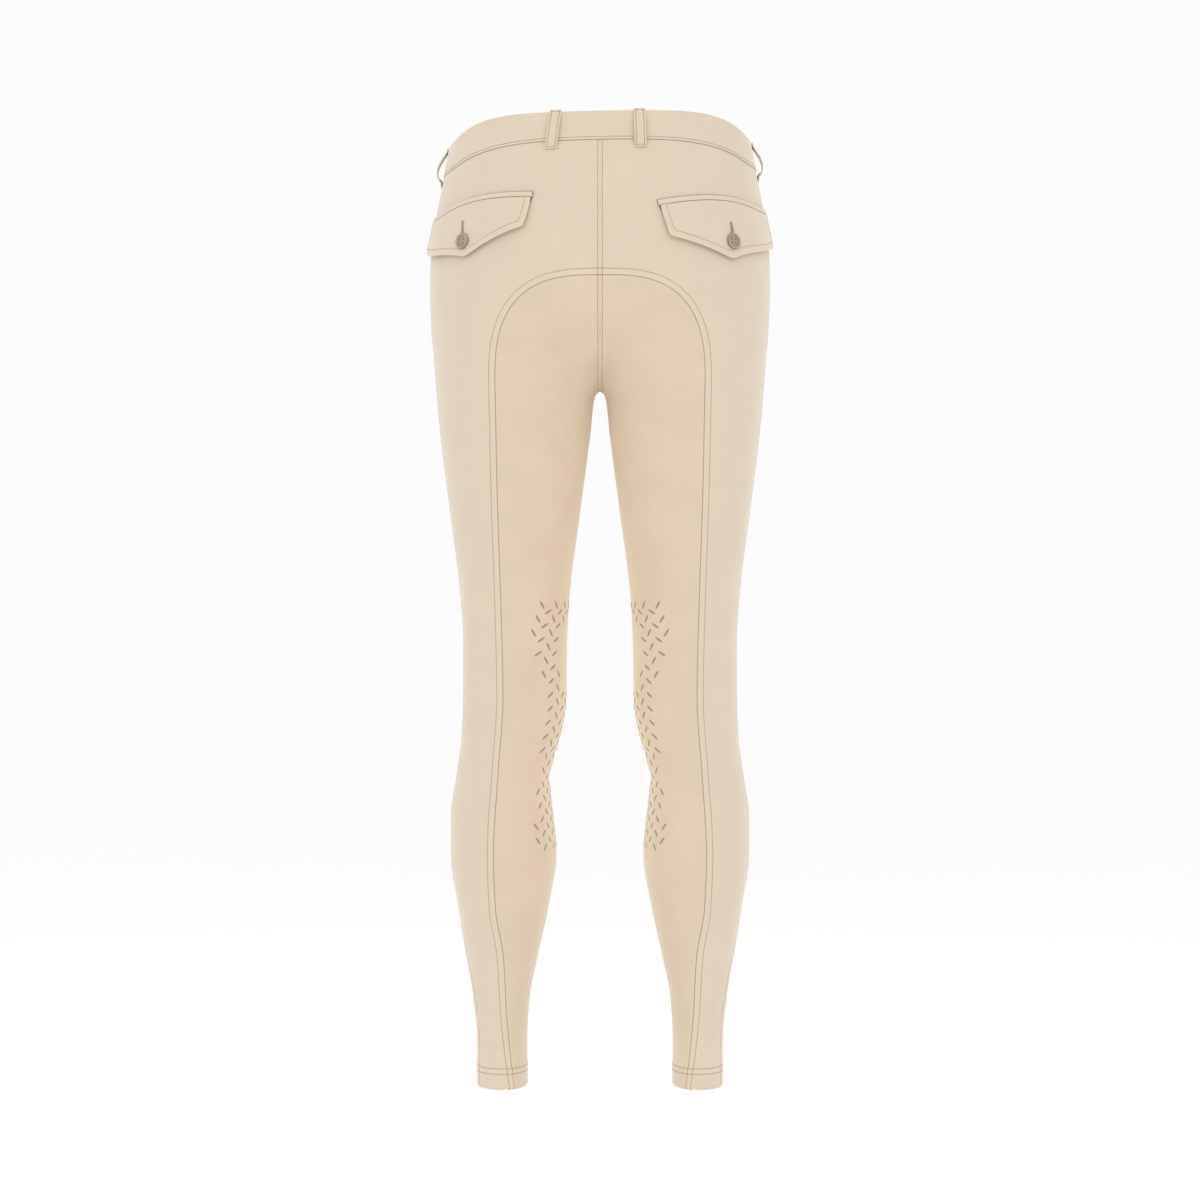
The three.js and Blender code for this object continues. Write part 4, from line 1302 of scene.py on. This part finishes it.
for word, pocket in POCKETS.items():
    length, shift = FLAP_HOLES[word]
    run = np.linspace(0, 1, int(length / HOLE_PITCH))
    drop = button_drop - length * run
    share = BUTTON_AT + shift * run
    line = flap_face(pocket, share, drop, 0.42)
    buttonhole(f"flap_buttonhole_{word}", line, normals_over(line, pocket[0]))
count = int(WAIST_HOLE / HOLE_PITCH)
turn = lap_turn + np.degrees(np.linspace(-3, WAIST_HOLE - 3, count) / -front_depth(0))
turn = np.clip(turn, None, lap_end_turn(lap_z) - 1.5)
z = np.full(count, lap_z[0])
out = outward(z, turn, -1)
line = skin(z, turn, -1) + out * (LAP_FACE + 0.05)
buttonhole("waist_buttonhole", line, out)

# Loose strand: on the right flap the end of the buttonhole's cord lies over the button's rim and runs down
# into one of its holes.
t = np.linspace(0, 1, 22)
pocket = POCKETS["right"]
length, shift = FLAP_HOLES["right"]
drop = blend(button_drop - length + 1.5, button_drop - 1.9, t)
share = BUTTON_AT + blend(shift, -0.012, ease(t, 0.15, 1)) + 0.006 * np.sin(2 * np.pi * t)
lie = 0.75 + 2.3 * ease(t, 0.34, 0.5) - 0.6 * ease(t, 0.8, 1)
line = flap_face(pocket, share, drop, lie)
slit("flap_strand_right", line, normals_over(line, -1), 0.5, 0.42, hole_thread)

# Side loops' ends: seen from the edge, the fold in which each end is turned under shows as a short dark gap,
# drawn as a thin strip of painted shadow just under the loop.
LOOP_END_SHADOWS = {"head": (0.03, 0.17), "foot": (0.83, 0.97)}
for name in ("loop_side_left", "loop_side_right"):
    for end, (start, stop) in LOOP_END_SHADOWS.items():
        t = np.linspace(start, stop, 12)
        edge = np.full_like(t, LOOP_WIDTH / 2 + 0.1)
        line, normal = loop_face(*LOOPS[name], t, edge, np.full_like(t, -LOOP_THICK - 0.3))
        slit(f"{name}_{end}_fold", line, normal, 0.3, 0.75, slit_shade)

# Pocket mouths: thin dark strips of painted shade lie in the ditch in which each welt is stitched down, over
# its top and round its inner end, and in the mouth between welt and flap, which gapes at the inner end.
DITCH_END = -0.013  # its turn at the inner end, as a share of the pocket's width
turned = np.linspace(0, 1, 14)[1:]
ditch_share = np.concatenate([np.linspace(1.004, DITCH_END, 150), np.full_like(turned, DITCH_END)])
ditch_drop = np.concatenate([np.full(150, -0.12), turned * WELT_HEIGHT])
mouth_share = np.linspace(1.0, 0.0, 150)
mouth_drop = np.full_like(mouth_share, WELT_HEIGHT + 0.15)
gape_share = np.linspace(-0.006, 0.002, 16)
gape_drop = np.linspace(WELT_HEIGHT, WELT_HEIGHT + 6.5, 16)
for word, pocket in POCKETS.items():
    for name, share, drop, out, half, shade in (
        ("welt_ditch", ditch_share, ditch_drop, 0.8, 0.38, ditch_shade),
        ("pocket_mouth", mouth_share, mouth_drop, 2.5, 0.38, ditch_shade),
        ("pocket_gape", gape_share, gape_drop, 0.9, 0.75, slit_shade),
    ):
        line = pocket_face(pocket, share, drop, 0, np.full_like(share, out))
        slit(f"{name}_{word}", line, normals_over(line, pocket[0]), half, 0.28, shade)

# Topstitching: one row beside each leg seam, twin rows along the centre seams, one row above the waistband's
# lower edge, two rows round each hem, and rows near the edges of the flaps and belt loops.
STITCH_PITCH = 2.6
STITCH_LENGTH = 2.0
STITCH_PROUD = 0.12  # how far the middle of a stitch lies above the cloth
FLY_WIDTH = 36
FLY_BOTTOM = -182
FLY_BEND = 34  # height of its bent lower part
FLY_END = 3  # from the centre front to the end of the fly's stitching


def sew(name, courses, pitch=STITCH_PITCH, length=STITCH_LENGTH):
    """Evenly spaced stitches along courses, each given by the points and normals of its line."""
    centres, headings, ups = [], [], []
    for points, normals in courses:
        run = distances(points)
        count = max(int(run[-1] / pitch), 1)
        middle = (np.arange(count) + 0.5) * run[-1] / count
        start, end = (points_at(points, run, middle + off) for off in (-length / 2, length / 2))
        centres.append(points_at(points, run, middle))
        headings.append(end - start)
        ups.append(points_at(normals, run, middle))
    centres, headings, ups = (np.concatenate(parts) for parts in (centres, headings, ups))
    put_stitches(name, seam_thread, centres, headings, ups, length)


def beside(seam, side, distance, way):
    """Places beside a seam on the cloth, towards a larger turn (way 1) or a smaller one (-1)."""
    z, turn = seam
    base = skin(z, turn, side)
    heading = np.gradient(base, axis=0)
    across = unit(np.cross(outward(z, turn, side), heading))
    low = len(z) * 3 // 4
    onward = skin(z[low : low + 1], turn[low : low + 1] + 0.5, side)[0] - base[low]
    sign = np.sign(across[low] @ onward) * way
    return place_of(base + across * sign * distance)


def course(places, side, kind):
    """A row's points and normals on a panel, just above its relief."""
    z, turn = places
    base = skin(z, turn, side)
    normals = outward(z, turn, side)
    return base + normals * (relief(base, z, turn, side, kind) + STITCH_PROUD)[:, None], normals


round_hem = np.linspace(-180, 180, 240)
for word, side in SIDES.items():
    rows = [
        course(beside(chain(back_arch, back_leg), side, TOPSTITCH, -1), side, "back"),
        course(beside(chain(front_arch, front_leg), side, TOPSTITCH, 1), side, "front"),
        course(beside(chain(side_hip, side_leg), side, TOPSTITCH, 1), side, "back"),
    ]
    sew(f"leg_topstitching_{word}", rows)
    hem = [course((np.full_like(round_hem, z), round_hem), side, "back") for z in HEM_ROWS]
    sew(f"hem_topstitching_{word}", hem)

twin = []
for side in SIDES.values():
    for seam, face, kind in ((centre_back, 1, "back"), (back_rise, 1, "seat"), (front_rise, -1, "seat")):
        z = seam[0]
        twin.append(course((z, turn_at(z, TWIN_STITCH, face)), side, kind))
    z = centre_front[0][centre_front[0] < FLY_BOTTOM]
    twin.append(course((z, turn_at(z, TWIN_STITCH, -1)), side, "front"))
bend = np.radians(np.linspace(0, 90, 40))
straight = np.linspace(WAIST_SEAM_Z - 1, FLY_BOTTOM + FLY_BEND, 80)
z = np.concatenate([straight, FLY_BOTTOM + FLY_BEND * (1 - np.sin(bend))])
x = np.concatenate([np.full(len(straight), FLY_WIDTH), FLY_END + (FLY_WIDTH - FLY_END) * np.cos(bend)])
twin.append(course((z, turn_at(z, x, -1)), 1, "front"))
edge_z = np.linspace(WAIST_SEAM_Z - 1, FLY_BOTTOM, 80)
twin.append(course((edge_z, turn_at(edge_z, TWIN_STITCH, -1)), 1, "front"))
sew("rise_topstitching", twin)

row_z = np.array([BAND_LOW + BAND_ROW])
low, high = (band_face(row_z, np.array([BAND_PROUD + out]))[:, 0] for out in (-0.1, 0.9))
end = np.linspace(BAND_LOW + BAND_ROW, -2.5, 30)
turn = lap_end_turn(end) - np.degrees(2.6 / -front_depth(0))
out = outward(end, turn, -1)
across_lap = skin(end, turn, -1) + out * (LAP_FACE + STITCH_PROUD)
sew("waistband_topstitching", [(low, high - low), (across_lap, out)])

loop_rows = []
loop_tacks = []
t = np.linspace(0.03, 0.97, 60)
for side, head, foot, stand in LOOPS.values():
    for q in (LOOP_ROW - LOOP_WIDTH / 2, LOOP_WIDTH / 2 - LOOP_ROW):
        loop_rows.append(loop_face(side, head, foot, stand, t, np.full_like(t, q), 0 * t))
    q = np.linspace(-LOOP_WIDTH / 2 + 1, LOOP_WIDTH / 2 - 1, 30)
    for at in (0.045, 0.955):
        loop_tacks.append(loop_face(side, head, foot, stand, np.full_like(q, at), q, np.full_like(q, 0.05)))
sew("loop_topstitching", loop_rows, 2.3, 1.8)
sew("loop_tacks", loop_tacks, 0.9, 0.8)

flap_rows = []
for word, pocket in POCKETS.items():
    margin = FLAP_ROW / pocket_width(pocket)
    side = pocket[0]
    lower = np.linspace(margin, 1 - margin, 160)
    reach = flap_depth(lower, side) - FLAP_ROW - 0.5
    rise = np.linspace(0, 1, 40)
    share = np.concatenate([np.full_like(rise, margin), lower, np.full_like(rise, 1 - margin)])
    top = FLAP_TOP + 0.5
    drop = np.concatenate([blend(top, reach[0], rise), reach, blend(reach[-1], top, rise)])
    line = flap_face(pocket, share, drop, 0.3)
    flap_rows.append((line, normals_over(line, side)))
sew("flap_topstitching", flap_rows)

# Knee grip: short slanting dashes of soft silicone printed on the inside of each knee, in columns that lean
# one way and the other by turns, with a plain oval at the bend of the knee.
GRIP_TOP = -473
GRIP_BOTTOM = -735
GRIP_PITCH = 14.2
GRIP_APART = 9.4  # from column to column
GRIP_COLUMNS = 9  # on each side of the middle one
GRIP_ROWS = 24
GRIP_REACH = 84  # round the leg from the inside, on each side
GRIP_OVAL = (-527, 40, 41)  # level, half height and half width of the plain oval
GRIP_HALF = 4.8
GRIP_WIDE = 1.2
GRIP_HIGH = 0.4
GRIP_LEANS = ((-60, -42), (33, 40))  # at the top and at the bottom of the band, of even and odd columns
GRIP_SPREAD = 0.2  # share by which the columns are farther apart, in full from GRIP_STRAIGHT down
GRIP_STRAIGHT = -560
GRIP = (160, 144, 119)
GRIP_EDGE = table(
    "z x",
    (-473, 57),
    (-500, 68.5),
    (-526, 66.5),
    (-557, 58.4),
    (-613, 56.5),
    (-644, 60.4),
    (-690, 64.5),
    (-716, 65),
    (-735, 53),
)
grip_edge = follow(GRIP_EDGE, "x")
silicone = Finish("grip_silicone")
grain = silicone.noise(silicone.here(), 600.0, 3.0)
tint = silicone.scaled(linear(*GRIP), 0.9 + grain * 0.2)
grip_silicone = silicone.surface(tint, 0.48 + grain * 0.12, grain, 0.0001)

columns = np.arange(-GRIP_COLUMNS, GRIP_COLUMNS + 1)
column, step = np.meshgrid(columns, np.arange(-2, GRIP_ROWS), indexing="ij")
odd = column % 2
z = GRIP_TOP - GRIP_PITCH * (step + 0.5 * odd)
fan = (GRIP_TOP - np.maximum(z, GRIP_STRAIGHT)) / (GRIP_TOP - GRIP_STRAIGHT)
away = GRIP_APART * column * (1 + GRIP_SPREAD * fan)
even, uneven = (blend(*pair, (z - GRIP_TOP) / (GRIP_BOTTOM - GRIP_TOP)) for pair in GRIP_LEANS)
lean = np.where(odd == 0, even, uneven) * np.where(column < 0, -1, 1)
z, away, lean = z.ravel(), away.ravel(), lean.ravel()
radius = (middle_and_half(z)[1] + back_depth(z)) / 2
turn = 180 - np.degrees(away / radius)
spot = skin(z, turn, 1)
inside = (spot[:, 0] < grip_edge(z) + 1) & (np.abs(away) < GRIP_REACH)
inside &= (z < GRIP_TOP - 2) & (z > GRIP_BOTTOM + 3)
oval_z, oval_high, oval_wide = GRIP_OVAL
keep = inside & (((z - oval_z) / oval_high) ** 2 + (away / oval_wide) ** 2 > 1)
z, away, lean, radius = z[keep], away[keep], np.radians(lean[keep]), radius[keep]
station = np.array([-1, -0.72, -0.25, 0.25, 0.72, 1])[:, None]
angle = np.radians(np.arange(0, 360, 60))
swell = np.sqrt(np.maximum(1 - station**2, 0.03))
p = station * GRIP_HALF + 0 * angle
w = swell * np.cos(angle) * GRIP_WIDE
h = swell * np.sin(angle) * GRIP_HIGH
faces = many_tubes(len(z), len(station), len(angle))
for word, side in SIDES.items():
    level = z[:, None, None] + p * np.cos(lean)[:, None, None] - w * np.sin(lean)[:, None, None]
    round_leg = away[:, None, None] + p * np.sin(lean)[:, None, None] + w * np.cos(lean)[:, None, None]
    turn = 180 - np.degrees(round_leg / radius[:, None, None])
    level, turn, high = level.ravel(), turn.ravel(), np.broadcast_to(h, round_leg.shape).ravel()
    base = skin(level, turn, side)
    lift = relief(base, level, turn, side, "seat") + high
    points = base + outward(level, turn, side) * lift[:, None]
    grip = put_mesh(f"knee_grip_{word}", points, faces, grip_silicone)
    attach(grip, "root")
